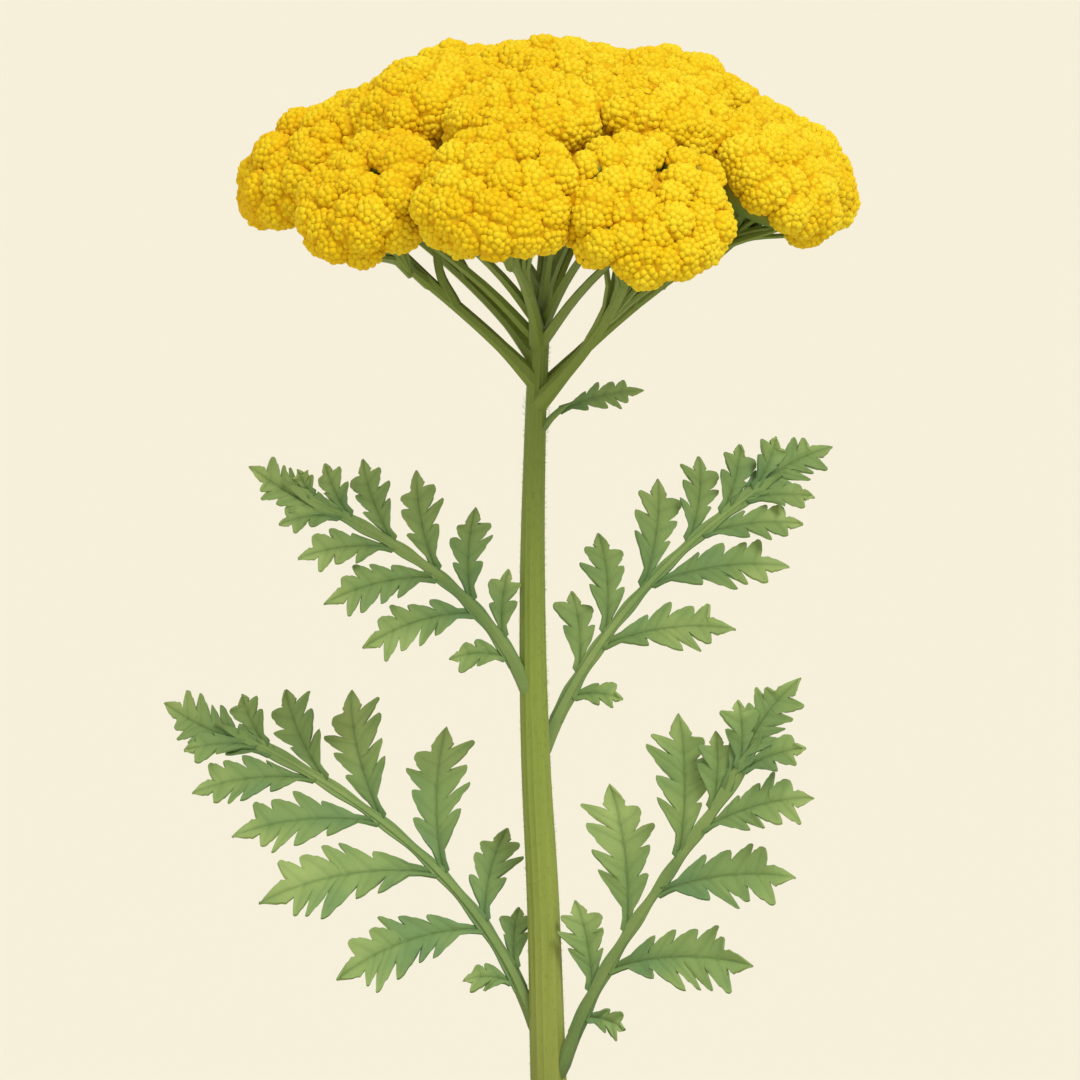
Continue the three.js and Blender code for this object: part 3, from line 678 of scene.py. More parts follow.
def moist_compost():
    """Potting compost: dark crumbs of peat and bark that hold water, so nearly black in the hollows
    and brown where they dry, with a few pale grains of perlite."""
    material, place = new_material("compost", Roughness=0.95, Specular_IOR_Level=0.25)
    tints = tint_parts(material)
    grain = add(material, "TexNoise", inputs={"Vector": place, "Scale": 600, "Detail": 5})
    fine = add(material, "Math", {"operation": "MULTIPLY"}, {0: grain, 1: 0.5})
    tone = add(material, "Math", {"operation": "MULTIPLY_ADD"}, {0: tints["Red"], 1: 0.5, 2: fine})
    brown = add(material, "ValToRGB", inputs={"Fac": tone}, stops=[
        (0.2, "#1C130D"), (0.5, "#40301F"), (0.85, "#7A5B3F")])
    whole = add(material, "Mix", {"data_type": "RGBA"}, {
        0: tints["Green"], 6: brown, 7: linear("#D8D2C2")})
    return dress(material, whole.outputs[2], grain, 0.7, 0.6)


# Flower head

def stood_on(way):
    """The turn that stands an upright shape on a slope that faces a given way."""
    return np.array(UP.rotation_difference(Vector(way)).to_matrix())


def bunch_place(index):
    """The centre of a bunch, its radius and the turn that stands it square to the head's dome."""
    azimuth, reach, height, radius = BUNCHES[index]
    share = reach / HEAD_RADIUS
    axis = unit(polar(azimuth, share / HEAD_RADIUS, math.sqrt(1 - share ** 2) / HEAD_RISE))
    return polar(azimuth, reach, height), radius, stood_on(axis), axis


def bunch_foot(index):
    """Where the stalk of a bunch ends, and the way it heads."""
    centre, radius, _, axis = bunch_place(index)
    drop = (radius - PUFF_RISE[0]) * BUNCH_UNDER_SHARE + 0.3
    return centre - axis * drop, axis


def puffs(index, puff_radius):
    """The puffs of a bunch: the middle of each, the way it faces and its radius."""
    centre, radius, stand, _ = bunch_place(index)
    inset, rise = PUFF_RISE
    middles, facings, radii = [], [], []
    for i in range(PUFFS_IN_BUNCH):
        level = 1 - (1 - LOWEST_PUFF) * (i + 0.5) / PUFFS_IN_BUNCH
        turn = GOLDEN_ANGLE * i + index
        ring = math.sqrt(1 - level * level)
        shift = [PUFF_SHIFT * (draw(index, 3 * i + k) * 2 - 1) for k in range(3)]
        way = unit(np.array([ring * math.cos(turn), ring * math.sin(turn), level]) + shift)
        share = BUNCH_TOP_SHARE if way[2] > 0 else BUNCH_UNDER_SHARE
        top = way * [1, 1, share] * (radius - inset) + way * rise
        facing = unit(way * [1, 1, 1 / share]) if way[2] > 0 else way
        own_radius = puff_radius * (0.86 + 0.4 * draw(index + 40, i))
        sunk = PUFF_SUNK * draw(i, index + 70)
        middle = centre + stand @ (top - facing * (own_radius + sunk))
        facing = stand @ facing
        middles.append(middle + lifted(middle + facing * own_radius, facing))
        facings.append(facing)
        radii.append(own_radius)
    return np.array(middles), np.array(facings), np.array(radii)


def lifted(top, facing):
    """How far a puff in the valley between bunches is raised towards the dome of the whole head."""
    reach = min(math.hypot(top[0], top[1]) / HEAD_RADIUS, 0.99)
    rise = math.sqrt(1 - reach ** 2)
    depth = HEAD_LEVEL + HEAD_RISE * rise - top[2]
    outward = unit(np.array([top[0] / HEAD_RADIUS ** 2, top[1] / HEAD_RADIUS ** 2, rise / HEAD_RISE]))
    open_share = np.clip((facing @ outward - 0.1) / 0.5, 0, 1)
    return outward * open_share * VALLEY_LIFT * np.clip(depth * outward[2] - 1.5, 0, 9)


def parting_planes(index):
    """The planes between a bunch and its neighbours, as (way out of the neighbour, least distance)."""
    planes = []
    centre, radius, _, _ = bunch_place(index)
    for other in range(len(BUNCHES)):
        middle, other_radius, _, _ = bunch_place(other)
        away = centre - middle
        apart = np.linalg.norm(away)
        if other == index or apart > NEIGHBOUR_SPAN * (radius + other_radius):
            continue
        away = away / apart
        share = (apart + other_radius - radius) / (2 * apart)
        planes.append((away, float((middle + away * share * apart) @ away)))
    return planes


def button_shapes():
    """Button florets modelled once: a low dome that four or five broad rays surround, and that
    is sunk in the puff. The lengths are shares of half the width, and the shapes share their faces."""
    shapes = []
    for dome, notch in BUTTON_DOMES:
        piece = made(bpy.ops.mesh.primitive_circle_add, vertices=8, radius=1, fill_type="NGON")
        bpy.ops.object.mode_set(mode="EDIT")
        bpy.ops.mesh.extrude_region_move(
            TRANSFORM_OT_translate={"value": (0, 0, BUTTON_SINK + BUTTON_RIM)})
        bpy.ops.transform.resize(
            value=(BUTTON_RIM_SHARE, BUTTON_RIM_SHARE, 1), center_override=(0, 0, 0))
        bpy.ops.mesh.poke(offset=dome - BUTTON_RIM)
        bpy.ops.object.mode_set(mode="OBJECT")
        places, faces = taken(piece)
        turns = np.degrees(np.arctan2(places[:, 1], places[:, 0])) % 90
        places[(turns > 30) & (turns < 60)] *= [notch, notch, 1]
        shapes.append(places - [0, 0, BUTTON_SINK])
    return shapes, faces


def puff_core():
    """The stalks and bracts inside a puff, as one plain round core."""
    return taken(made(bpy.ops.mesh.primitive_ico_sphere_add, subdivisions=2, radius=1))


class YARROW_OT_flower_head(bpy.types.Operator):
    """Model the bunches of the head, each a mass of button florets in small puffs"""
    bl_idname = "yarrow.flower_head"
    bl_label = "Flower head"

    def execute(self, context):
        settings = context.scene.yarrow_flower
        material = golden_button(settings)
        shapes, faces = button_shapes()
        core = puff_core()
        for index in range(len(BUNCHES)):
            self.bunch(index, settings, material, shapes, faces, *core)
        return {"FINISHED"}

    def bunch(self, index, settings, material, shapes, faces, core, core_faces):
        random = np.random.default_rng(500 + index)
        centre, bunch_radius, stand, _ = bunch_place(index)
        middles, facings, radii = puffs(index, settings.puff_radius)
        if index in BARE_SIDES:
            kept = facings @ unit(np.array(BARE_SIDES[index])) < BARE_COSINE
            middles, facings, radii = middles[kept], facings[kept], radii[kept]
        planes = parting_planes(index)
        heap = Heap()
        for i, (middle, facing, radius) in enumerate(zip(middles, facings, radii)):
            places, ways = self.over_puff(middle, facing, radius, settings.button_spacing, random)
            others = np.arange(len(middles)) != i
            apart = np.linalg.norm(places[:, None] - middles[others], axis=2)
            gaps = np.min(apart - radii[others], axis=1)
            clear = gaps > 0.1
            for away, least in planes:
                clear &= places @ away > least
            puff_tone = random.random()
            # Painted light: buttons on the side of the head towards the key sun get a paler gold, those
            # on the far side a deeper gold as painted shade
            painted_sun_side = np.clip(0.5 + 0.5 * middle[0] / HEAD_RADIUS, 0, 1)
            for place, way, gap in zip(places[clear], ways[clear], gaps[clear]):
                shape = shapes[random.integers(len(shapes))]
                size = settings.button_width / 2 * random.uniform(0.88, 1.12)
                spin = np.array(Matrix.Rotation(random.uniform(0, 2 * math.pi), 3, "Z"))
                height = np.clip((shape[:, 2] + BUTTON_SINK) / 0.8, 0, 1)
                ripeness_and_painted_light = np.dot(RIPENESS_AND_PAINTED_LIGHT_SHARES, (random.random(), puff_tone, painted_sun_side))
                # Painted shade: buttons at the rim of their puff and those crowded by neighbouring puffs
                # get a deeper gold, standing in for the shade in the valleys between puffs
                open_share = 0.5 * np.clip(way @ facing, 0, 1) + 0.5 * min(gap / 1.8, 1)
                heap.add(shape @ (stood_on(way) @ spin).T * size + place, faces, np.column_stack([
                    0.45 + 0.55 * height, np.full((len(shape), 2), (ripeness_and_painted_light, open_share))]))
        for middle, facing, radius in zip(middles, facings, radii):
            gold_share = np.clip(core @ facing * 2 + 0.6, 0, 1) * 0.6
            tints = np.column_stack([gold_share, np.full((len(core), 2), 0.15)])
            heap.add(core * (radius + 0.05) + middle, core_faces, tints)
        height = np.where(core[:, 2:] > 0, BUNCH_TOP_SHARE, BUNCH_UNDER_SHARE)
        inner = core * (height * [0, 0, 1] + [1, 1, 0]) * bunch_radius * BUNCH_CORE_SHARE
        gold_share = np.clip(core[:, 2] + 0.15, 0, 0.5)
        tints = np.column_stack([gold_share, np.full((len(core), 2), 0.1)])
        heap.add(inner @ stand.T + centre, core_faces, tints)
        piece = heap.mesh(f"yarrow_bunch_{index + 1:02d}")
        smooth(piece, 60)
        settle(piece, material, "floret", f"flower_cluster_{index + 1:02d}")

    def over_puff(self, middle, facing, radius, spacing, random):
        """Even places over the outer side of a puff, each with the way it faces."""
        area = 2 * math.pi * radius ** 2 * (1 - LOWEST_BUTTON)
        cell = 0.866 * spacing ** 2  # in a triangular net
        total = round(area / cell)
        level = 1 - (1 - LOWEST_BUTTON) * (np.arange(total) + 0.5) / total
        turn = GOLDEN_ANGLE * np.arange(total) + random.uniform(0, 6.28)
        ring = np.sqrt(1 - level ** 2)
        ways = np.column_stack([ring * np.cos(turn), ring * np.sin(turn), level])
        ways += random.normal(0, 0.03, ways.shape)
        ways /= np.linalg.norm(ways, axis=1)[:, None]
        ways = ways @ stood_on(facing).T
        return middle + ways * (radius + random.normal(0, 0.12, total))[:, None], ways


# Stem

def stem_point(height):
    """The middle of the stem at a height."""
    line = np.array(STEM_LINE)
    return np.array([np.interp(height, line[:, 2], line[:, k]) for k in range(2)] + [height])


def stem_radius(height):
    heights, radii = zip(*STEM_RADII)
    return float(np.interp(height, heights, radii))


def stalk_to(index, start, bend):
    """The path from a point on the stem or on a limb to the foot of a bunch."""
    end, axis = bunch_foot(index)
    return CubicPath([start, bend, end - axis * TWIG_LEVER, end])


def tapered_run(path, radii, knots, flare):
    """Knots along a path, from the radius at its foot to the radius at its tip, flared at the foot."""
    run = []
    for share in np.linspace(0, 1, knots):
        radius = radii[0] + (radii[1] - radii[0]) * share
        run.append((path.point(share), radius + flare * max(0, 1 - share / 0.2)))
    return run


def branch_paths():
    """The limbs and the twigs that leave them, by the bunch that each carries."""
    limbs, twigs = {}, {}
    for height, azimuth, reach, bend_height, main, *others in BRANCHES:
        limb = limbs[main] = stalk_to(main, stem_point(height), polar(azimuth, reach, bend_height))
        for i, other in enumerate(others):
            fork = TWIG_FORK + TWIG_SPACING * i
            start = limb.point(fork)
            twigs[other] = stalk_to(other, start, start + limb.along(fork) * TWIG_LEVER)
    return limbs, twigs


class YARROW_OT_stem(bpy.types.Operator):
    """Model the furrowed stem with its limbs, twigs, floret stalks and down"""
    bl_idname = "yarrow.stem"
    bl_label = "Stem"

    def execute(self, context):
        settings = context.scene.yarrow_stem
        stem_section = ribbed_section(settings.ridges, 0.07)
        limb_section = ribbed_section(7, 0.09)
        stalk_section = ribbed_section(5, 0)
        line = [(np.array(p, float), stem_radius(p[2])) for p in STEM_LINE]
        limbs, twigs = branch_paths()
        limb_runs = [tapered_run(path, LIMB_RADII, 6, 0.6) for path in limbs.values()]
        twig_runs = [tapered_run(path, TWIG_RADII, 5, 0.4) for path in twigs.values()]
        parts = [
            tubes("stem_line", [line], stem_section, 14),
            tubes("limbs", limb_runs, limb_section, 6),
            tubes("twigs", twig_runs, limb_section, 5),
            tubes("branchlets", self.branchlets({**limbs, **twigs}), stalk_section, 4),
            tubes("floret_stalks", self.stalks(context.scene.yarrow_flower), stalk_section, 3),
            self.down(settings.hair_length),
        ]
        piece = joined("yarrow_stem", parts)
        remove(stem_section, limb_section, stalk_section)
        smooth(piece, 40)
        settle(piece, downy_stem(settings), "stem", "stem")
        return {"FINISHED"}

    def branchlets(self, paths):
        """Branchlets that leave the upper half of each branch and fan out under its bunch."""
        paths[0] = CubicPath([stem_point(height) for height in CROWN_STALK])
        runs = []
        for height, end in SPRAYS:
            start, end = stem_point(height), np.array(end, float)
            bend = start + (end - start) * 0.45 + [0, 0, 1.5]
            runs.append(list(zip((start, bend, end), SPRAY_RADII)))
        for index, path in paths.items():
            centre, radius, stand, _ = bunch_place(index)
            for k in range(BRANCHLETS):
                leave = 0.2 + 0.7 * (k + 0.5) / BRANCHLETS
                start = path.point(leave)
                turn = 137.5 * k + 90 * draw(index, k + 300)
                reach = radius * (0.45 + 0.3 * draw(k, index + 300))
                end = centre + stand @ polar(turn, reach, -radius * 0.2)
                way = end - start
                bend = start + path.along(leave) * np.linalg.norm(way) * 0.3 + way * 0.25
                runs.append(list(zip((start, bend, end), BRANCHLET_RADII)))
        return runs

    def stalks(self, flower):
        """Stalks that leave the last stretch of each twig and fan out to the lower puffs."""
        runs = []
        for index in range(len(BUNCHES)):
            foot, axis = bunch_foot(index)
            middles, facings, radii = puffs(index, flower.puff_radius)
            for i, (middle, facing, radius) in enumerate(zip(middles, facings, radii)):
                if facing @ axis > 0.6:
                    continue
                start = foot - axis * (2 + 7 * draw(index, 200 + i))
                bend = start + axis * 4 + (middle - start) * 0.38
                end = middle + facing * radius * 0.3
                runs.append(list(zip((start, bend, end), STALK_RADII)))
        return runs

    def down(self, hair_length):
        """Short soft hairs that stand out from the stem and point upwards."""
        random = np.random.default_rng(11)
        points, faces = [], []
        for _ in range(HAIRS):
            height = random.uniform(*HAIRY_SPAN)
            out = polar(random.uniform(0, 360), 1, 0)
            root = stem_point(height) + out * (stem_radius(height) * 0.96)
            tip = root + (out + [0, 0, random.uniform(0.1, 0.8)]) * hair_length * random.uniform(0.5, 1)
            across = np.array([-out[1], out[0], 0]) * HAIR_HALF_WIDTH
            lift = np.array([0, 0, 0.07])
            base = len(points)
            points += [root - across, root + across, root + lift, tip]
            faces += [(base, base + 1, base + 3), (base + 1, base + 2, base + 3),
                      (base + 2, base, base + 3), (base, base + 2, base + 1)]
        return mesh_from("down", np.array(points), faces)


# Leaves

class Midrib:
    """The midrib of a leaf with its frame: centre, way along, way up and way to the side."""

    def __init__(self, spec, facing):
        self.path = CubicPath(spec["midrib"])
        self.roll = spec["roll"]
        self.size = spec.get("size", 1)
        self.facing = np.array(facing, float)

    def frame(self, share):
        along = self.path.along(share)
        up = unit(self.facing - along * (self.facing @ along))
        up = turned_about(up, along, self.roll)
        return self.path.point(share), along, up, np.cross(up, along)

    def half_width(self, share):
        foot, tip = MIDRIB_HALF_WIDTH
        return self.size * (foot + (tip - foot) * share)


def leaflet_rows(lobes):
    """The shares of a leaflet's length at which it is drawn, with a row at each notch and each lobe's
    tip, and the share that one lobe takes."""
    step = (LOBE_LAST - LOBE_FIRST) / lobes
    lobed = [LOBE_FIRST + (j + within) * step for j in range(lobes) for within in LOBE_ROWS]
    end = LOBE_LAST + (1 - LOBE_LAST) * np.array(END_ROWS)
    return np.array([-0.02, 0.02, 0.06, *lobed, *end]), step


def dip(place, middle, half_width):
    """A soft notch: 1 at its middle, near 0 past its half width."""
    return np.exp(-((place - middle) / half_width) ** 2)


def leaflet_half_width(share, step, length, width, size, floor, phase):
    """Half the width of a leaflet at shares of its length: round lobes with a tooth on each flank.
    The floor is the share of the width that the notches leave."""
    full = 0.57 * width * np.sin(np.pi * np.clip(share, 0, 1) ** 1.05) ** 0.7
    full = full * (1 + 0.13 * np.sin(np.floor((share - LOBE_FIRST) / step + 1e-6) * 2.4 + phase))
    within = (share - LOBE_FIRST) / step % 1
    off = np.where(within < LOBE_PEAK, 1 - within / LOBE_PEAK, (within - LOBE_PEAK) / (1 - LOBE_PEAK))
    lobe = 0.94 * (1 - off ** 3) + 0.06 * (1 - off)
    lobe = lobe - 0.14 * dip(within, 0.3, 0.06) - 0.06 * dip(within, 0.84, 0.06)
    past = np.clip((share - LOBE_LAST) / (1 - LOBE_LAST), 0, 1)
    end = width * (0.13 + 0.13 * np.clip(past / 0.3, 0, 1)) * (1 - past ** 1.3) ** 0.9
    end = end * (1 - 0.12 * dip(past, 0.4, 0.08))
    half = np.where(share > LOBE_LAST, end, full * (floor + (1 - floor) * lobe))
    half = np.where(share < LOBE_FIRST, 0, half)
    stalk = 0.95 + 0.45 * np.exp(-np.maximum(share, 0) * length / 1.5)
    return np.maximum(half, size * stalk * (share < LOBE_LAST))


def leaflet_blade(frame, length, angle, size, settings, seed, lobes=0, width=0, slim=1):
    """One leaflet: a fine grid that is drawn out to its lobed outline and creased along its veins.
    The frame is its origin, the leaf's way along, its own way out, the way ahead and the way up."""
    origin, along, out, ahead, up = frame
    rows, step = leaflet_rows(lobes or int(np.clip(round(length / LOBE_LENGTH), 2, 6)))
    piece = made(
        bpy.ops.mesh.primitive_grid_add, x_subdivisions=len(rows) - 1, y_subdivisions=8, size=2)
    column, side, _ = corners_of(piece).T
    share = rows[np.rint((column + 1) / 2 * (len(rows) - 1)).astype(int)]
    inside = np.clip(share, 0, 1)
    # Columns gather at the midvein and at the edge
    across = np.sign(side) * np.interp(np.abs(side), [0, 0.25, 0.5, 0.75, 1], [0, 0.12, 0.42, 0.78, 1])
    by_size, by_length = LEAFLET_WIDTH
    width = (width or size * by_size + by_length * length) * slim
    rear = leaflet_half_width(share, step, length, width * 1.08, size, LOBE_FLOORS[0], seed)
    half = leaflet_half_width(share, step, length, width * 0.92, size, LOBE_FLOORS[1], seed + 2)
    # The front side stays clear of the midrib
    sine, cosine = math.sin(math.radians(angle)), math.cos(math.radians(angle))
    apart = length * share * sine - size * 0.7
    front = np.minimum(half, np.maximum(0.7, apart / cosine)) if cosine > 0.01 else half
    aside = across * np.where(across > 0, front, rear)
    # Lobes sweep forward, the last ones less
    fading = 1 - LOBE_FADING * inside ** 2
    fading = fading * (1 - np.clip((share - LOBE_LAST) / (1 - LOBE_LAST), 0, 1) ** 0.8)
    shifted = share + 0.022 * np.sin(share * 13 + seed + across * 2) * np.sin(np.pi * inside)
    run = shifted + np.abs(aside) / length * fading
    # Relief: an arched blade with waves, and grooves along the veins
    bulge = np.abs(aside) * 0.16 - 0.14 * length * run ** 2
    side_vein = dip(((share - LOBE_FIRST) / step % 1 - LOBE_PEAK) * step * length, 0, 0.5)
    side_vein = side_vein * (np.abs(across) < 0.9) * (share > LOBE_FIRST) * (share < LOBE_LAST)
    midvein = dip(aside, 0, 0.4)
    phase = seed * 1.7
    wave = 0.35 * np.sin(share * 9 + phase) * across ** 2 + 0.3 * np.sin(share * 17 + phase) * across
    lift = bulge + wave * size - settings.vein_depth * size * (midvein + 0.5 * side_vein)
    curve = length * math.tan(math.radians(LEAFLET_BEND * sine)) * run * (1 - run)
    places = (origin + np.outer(run * length, out) - np.outer(0.1 * length * run ** 2, along)
              + np.outer(aside + curve, ahead) + np.outer(lift, up))
    move_points(piece, places)
    foot = np.clip(1 - share * 10, 0, 1)
    vein = np.clip(0.75 * midvein * (1 - 0.6 * share) + 0.22 * side_vein + 0.4 * foot, 0, 1)
    tint(piece, np.column_stack([vein, inside, np.full(len(share), draw(seed, 7))]))
    return piece


def midrib_wing(rib, seed):
    """The narrow green wing along the midrib, which widens where the last leaflets run together."""
    piece = made(bpy.ops.mesh.primitive_grid_add, x_subdivisions=60, y_subdivisions=4, size=2)
    column, across, _ = corners_of(piece).T
    share = np.interp(column, [-1, 1], [WING_BEGINS, 1])
    spread = 0.05 + 0.95 * np.clip((share - 0.5) / 0.5, 0, 1) ** 1.4 + 0.2 * np.sin(share * 47 + seed)
    half = rib.half_width(share) + rib.size * spread * np.clip((share - WING_BEGINS) * 12, 0, 1)
    half = half * np.clip((1 - share) * 14, 0.1, 1)
    places = []
    for at, off, reach in zip(share, across, half):
        centre, _, up, aside = rib.frame(at)
        places.append(centre + aside * off * reach + up * abs(off) * 0.25)
    move_points(piece, np.array(places))
    tint(piece, np.column_stack([np.full(len(share), 0.12), share * 0.6, np.full(len(share), 0.5)]))
    return piece


def leaflet_frame(rib, at, side, angle):
    """The frame of a leaflet at a share of the midrib, on one side and at an angle to it."""
    centre, along, up, aside = rib.frame(at)
    rise = math.radians(LEAFLET_RISE)
    flat = along * math.cos(math.radians(angle)) + aside * side * math.sin(math.radians(angle))
    out = flat * math.cos(rise) + up * math.sin(rise)
    ahead = turned_about(unit(along - out * (along @ out)), out, side * LEAFLET_PITCH)
    face = np.cross(ahead, out) * side
    origin = centre + aside * side * rib.half_width(at) * 0.35
    return origin, along, out, ahead, face


def end_blade(rib, begin, tip, settings, seed, *shape):
    """The blade that ends a leaf. It leaves the midrib at a share of its length."""
    start, _, up, _ = rib.frame(begin)
    reach = rib.path.point(1) + rib.path.along(1) * tip - start
    out = unit(reach)
    up = unit(up - out * (up @ out))
    frame_at = (start, out, out, np.cross(up, out), up)
    return leaflet_blade(frame_at, float(np.linalg.norm(reach)), 90, rib.size, settings, seed, *shape)


def feather_leaf(name, spec, facing, settings, seed):
    """A leaf with its midrib and its two rows of leaflets, as one closed mesh."""
    rib = Midrib(spec, facing)
    one_blade = "upper" not in spec
    begin, *shape = spec.get("end", [0.93])
    blades = [end_blade(rib, begin, spec["tip"], settings, seed, *shape)]
    if not one_blade:
        blades.append(midrib_wing(rib, seed))
        sides = (spec["lower"], spec["upper"]) if spec["left"] else (spec["upper"], spec["lower"])
        for side, leaflets in zip((1, -1), sides):
            for i, (at, length, angle) in enumerate(leaflets):
                blades.append(leaflet_blade(
                    leaflet_frame(rib, at, side, angle), length, angle, rib.size, settings,
                    seed + i + side * 20, slim=spec.get("slim", 1)))
    blade = joined(name, blades)
    weld(1e-5, outward=False)
    modifier(blade, "SOLIDIFY", thickness=settings.blade * MM * rib.size, offset=0)
    section = ribbed_section(6, 0.12)
    last = begin + 0.15 if one_blade else 1
    run = []
    for share in np.linspace(0, last, 17):
        swell = 0.45 + 0.6 * min(share / 0.07, 1) - 0.18 * np.clip((share - 0.07) / 0.12, 0, 1)
        taper = min(1, (last - share) * 7 + 0.2)
        run.append((rib.path.point(share), rib.half_width(share) * swell * taper))
    ridge = tubes("midrib", [run], section, 5)
    remove(section)
    share = np.linspace(0.35, 0.1, len(ridge.data.vertices))
    tint(ridge, np.column_stack([share, np.full(len(share), 0.7), share]))
    leaf = joined(name, [blade, ridge])
    smooth(leaf, 50)
    return leaf


class YARROW_OT_stem_leaves(bpy.types.Operator):
    """Model the four feather leaves of the stem and the small leaf under the head"""
    bl_idname = "yarrow.stem_leaves"
    bl_label = "Stem leaves"

    def execute(self, context):
        settings = context.scene.yarrow_leaf
        material = bpy.data.materials.get("yarrow_leaf") or downy_leaf(settings)
        for i, (node, spec) in enumerate(STEM_LEAVES.items()):
            leaf = feather_leaf("yarrow_" + node, spec, (0, -1, 0), settings, 100 * (i + 1))
            settle(leaf, material, "leaf", node)
        return {"FINISHED"}


class YARROW_OT_low_leaves(bpy.types.Operator):
    """Model the leaves that grow from the plant's foot and hang over the rim"""
    bl_idname = "yarrow.low_leaves"
    bl_label = "Low leaves"

    def execute(self, context):
        settings = context.scene.yarrow_leaf
        material = bpy.data.materials.get("yarrow_leaf") or downy_leaf(settings)
        for i, (azimuth, reach, arch) in enumerate(LOW_LEAVES):
            end = reach - LOW_LEAF_TIP
            spec = dict(
                midrib=[polar(azimuth, 9, 98), polar(azimuth, 17, arch + 4),
                        polar(azimuth, 0.55 * end, arch + 4), polar(azimuth, end, arch - 4)],
                upper=LOW_LEAFLETS, lower=LOW_LEAFLETS, tip=LOW_LEAF_TIP, roll=0, left=True,
            )
            leaf = feather_leaf(f"yarrow_low_leaf_{i + 1}", spec, (0, 0, 1), settings, 1000 + 100 * i)
            settle(leaf, material, "leaf", f"low_leaf_{i + 1}")
        return {"FINISHED"}


# Pot and compost

def wall_radius(height):
    """The inside radius of the pot at a height."""
    shoulder_radius, shoulder = POT_SHOULDER
    slope = (shoulder_radius - POT_FOOT_RADIUS) / shoulder
    flare = (POT_RIM_RADIUS - shoulder_radius) / (POT_HEIGHT - shoulder)
    return (POT_FOOT_RADIUS + slope * min(height, shoulder) - POT_WALL
            + flare * max(0, height - shoulder))


class YARROW_OT_clay_pot(bpy.types.Operator):
    """Turn the clay pot with its rim band and its drainage hole"""
    bl_idname = "yarrow.clay_pot"
    bl_label = "Clay pot"

    def execute(self, context):
        shoulder_radius, shoulder = POT_SHOULDER
        outside = [(POT_FOOT_RADIUS, 0)]
        for height in np.arange(4, shoulder - 2, RING_SPACING):
            radius = POT_FOOT_RADIUS + (shoulder_radius - POT_FOOT_RADIUS) * height / shoulder
            outside.append((radius + RING_DEPTH * math.sin(height * 1.3), height))
        outside += [(shoulder_radius, shoulder), (POT_RIM_RADIUS - 2, shoulder + 0.4),
                    (POT_RIM_RADIUS - 1, (shoulder + POT_HEIGHT) / 2), (POT_RIM_RADIUS, POT_HEIGHT)]
        inside = [(wall_radius(h), h) for h in (POT_HEIGHT, shoulder, 60, POT_FLOOR)]
        profile = [(DRAIN_RADIUS, 0), *outside, *inside, (DRAIN_RADIUS, POT_FLOOR), (DRAIN_RADIUS, 0)]
        pot = turned_shape("yarrow_pot", profile, 96)
        modifier(pot, "BEVEL", width=1.5 * MM, segments=3, limit_method="ANGLE",
                 angle_limit=math.radians(28))
        smooth(pot, 40)
        settle(pot, fired_clay(context.scene.yarrow_pot), "clay", "pot")
        return {"FINISHED"}


class YARROW_OT_compost(bpy.types.Operator):
    """Fill the pot with crumbly compost"""
    bl_idname = "yarrow.compost"
    bl_label = "Compost"

    def execute(self, context):
        edge = COMPOST_TOP - COMPOST_MOUND
        profile = [(0.02, POT_FLOOR + 0.3)] + [
            (wall_radius(h) - COMPOST_GAP, h) for h in (POT_FLOOR + 0.3, 60, POT_SHOULDER[1])]
        rim = wall_radius(edge) - COMPOST_GAP
        profile += [(rim * share, COMPOST_TOP - COMPOST_MOUND * share ** 2)
                    for share in np.append(np.linspace(1, 0.04, 30), 0.0004)]
        block = turned_shape("compost_block", profile, 80)
        points = points_of(block)
        top = points[:, 2] > edge - 0.5
        points[top, 2] += [self.crumbs_at(p) for p in points[top]]
        move_points(block, points)
        tint(block, np.full((len(points), 3), [0.25, 0, 0]))
        loose = self.loose_crumbs(context.scene.yarrow_pot.crumbs, rim)
        piece = joined("yarrow_compost", [block, loose])
        smooth(piece, 35)
        settle(piece, moist_compost(), "compost", "compost")
        return {"FINISHED"}

    def crumbs_at(self, point):
        """The height of the crumbly surface over its smooth mound."""
        place = Vector(point) * 0.22
        return 1.1 * noise.noise(place) + 0.7 * noise.noise(place * 2.7)

    def loose_crumbs(self, count, rim):
        """Angular crumbs, copied from five chunks, with some pale grains of perlite."""
        random = np.random.default_rng(23)
        chunks = []
        for _ in range(5):
            chunk = made(bpy.ops.mesh.primitive_ico_sphere_add, subdivisions=1, radius=1)
            corners, faces = taken(chunk)
            chunks.append(corners * random.uniform(0.6, 1.2, corners.shape))
        heap = Heap()
        for i in range(count):
            reach = rim * math.sqrt(random.random()) * 0.97
            place = polar(random.uniform(0, 360), reach, 0)
            size = random.choice(CRUMB_SIZES, p=CRUMB_SHARES) * random.uniform(0.8, 1.2)
            pale = float(random.random() < PERLITE_SHARE)
            place[2] = COMPOST_TOP - COMPOST_MOUND * (reach / rim) ** 2
            place[2] += self.crumbs_at(place) + size * 0.25
            turn = Matrix.Rotation(random.uniform(0, 6.28), 3, random.normal(size=3).tolist())
            flat = np.array([1, random.uniform(0.5, 1), random.uniform(0.4, 0.9)])
            tints = np.full((len(corners), 3), [random.uniform(0.1, 0.9), pale, 0])
            heap.add((chunks[i % 5] * flat) @ np.array(turn).T * size + place, faces, tints)
        return heap.mesh("crumbs")


# Stage

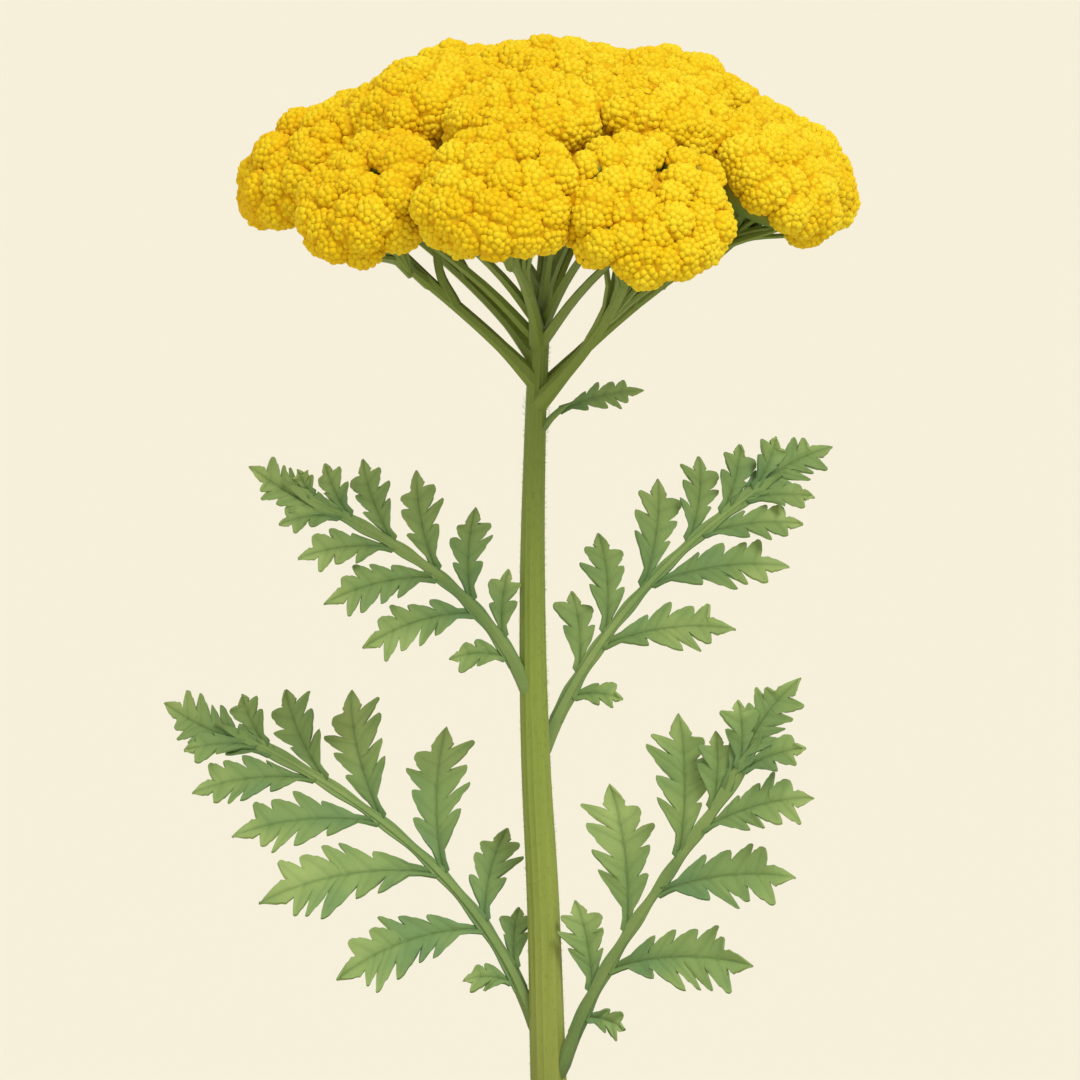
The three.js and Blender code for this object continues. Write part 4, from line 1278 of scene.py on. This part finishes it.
class YARROW_OT_stage(bpy.types.Operator):
    """Set out the pale floor, the soft light and the camera"""
    bl_idname = "yarrow.stage"
    bl_label = "Stage"

    def execute(self, context):
        settings = context.scene.yarrow_stage
        self.floor(settings)
        self.light(context.scene, settings)
        self.camera(context.scene, settings)
        return {"FINISHED"}

    def floor(self, settings):
        floor = made(bpy.ops.mesh.primitive_plane_add, size=80)
        floor.name = "pale_floor"
        material, _ = new_material(
            "pale_floor", Base_Color=(*settings.floor, 1.0), Roughness=0.9, Specular_IOR_Level=0.1)
        floor.data.materials.append(material)

    def light(self, scene, settings):
        world = bpy.data.worlds.new("soft_studio")
        world.use_nodes = True
        background = world.node_tree.nodes["Background"]
        background.inputs["Color"].default_value = linear("#FBF8EE")
        background.inputs["Strength"].default_value = WORLD_STRENGTH
        scene.world = world
        for name, (azimuth, height, share, spread) in SUNS.items():
            sun = made(bpy.ops.object.light_add, type="SUN")
            sun.name = name
            sun.data.energy = settings.sun * share
            sun.data.angle = math.radians(spread)
            way = polar(azimuth, math.cos(math.radians(height)), math.sin(math.radians(height)))
            sun.rotation_euler = Vector(way).to_track_quat("Z", "Y").to_euler()

    def camera(self, scene, settings):
        """A distant camera that frames the picture's width at the stem and looks down on it a little."""
        camera = made(bpy.ops.object.camera_add)
        back = Vector((0, -math.cos(settings.elevation), math.sin(settings.elevation)))
        camera.location = (Vector(PICTURE_MIDDLE) + back * CAMERA_DISTANCE) * MM
        camera.rotation_euler = back.to_track_quat("Z", "Y").to_euler()
        camera.data.lens = camera.data.sensor_width * CAMERA_DISTANCE / PICTURE_WIDTH
        camera.data.clip_end = 100
        scene.camera = camera
        scene.view_settings.view_transform = "Standard"


STEPS = (
    YARROW_OT_clay_pot, YARROW_OT_compost, YARROW_OT_stem, YARROW_OT_flower_head,
    YARROW_OT_stem_leaves, YARROW_OT_low_leaves, YARROW_OT_stage,
)
SETTINGS = {
    "yarrow_flower": FlowerSettings, "yarrow_leaf": LeafSettings, "yarrow_stem": StemSettings,
    "yarrow_pot": PotSettings, "yarrow_stage": StageSettings,
}


class YARROW_PT_sidebar(bpy.types.Panel):
    """The steps that build the plant, in order"""
    bl_label = "Potted Yarrow"
    bl_idname = "YARROW_PT_sidebar"
    bl_space_type = "VIEW_3D"
    bl_region_type = "UI"
    bl_category = "Yarrow"

    def draw(self, context):
        for step in STEPS:
            self.layout.operator(step.bl_idname)
        for name, group in SETTINGS.items():
            box = self.layout.box()
            for setting in group.__annotations__:
                box.prop(getattr(context.scene, name), setting)


def register():
    for group in SETTINGS.values():
        bpy.utils.register_class(group)
    for name, group in SETTINGS.items():
        setattr(bpy.types.Scene, name, bpy.props.PointerProperty(type=group))
    for item in (*STEPS, YARROW_PT_sidebar):
        bpy.utils.register_class(item)


def unregister():
    for item in (YARROW_PT_sidebar, *reversed(STEPS)):
        bpy.utils.unregister_class(item)
    for name, group in SETTINGS.items():
        delattr(bpy.types.Scene, name)
        bpy.utils.unregister_class(group)


def main():
    register()
    for step in STEPS:
        operator = getattr(bpy.ops.yarrow, step.bl_idname.split(".")[1])
        operator()
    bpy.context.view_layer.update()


if __name__ == "__main__":
    main()
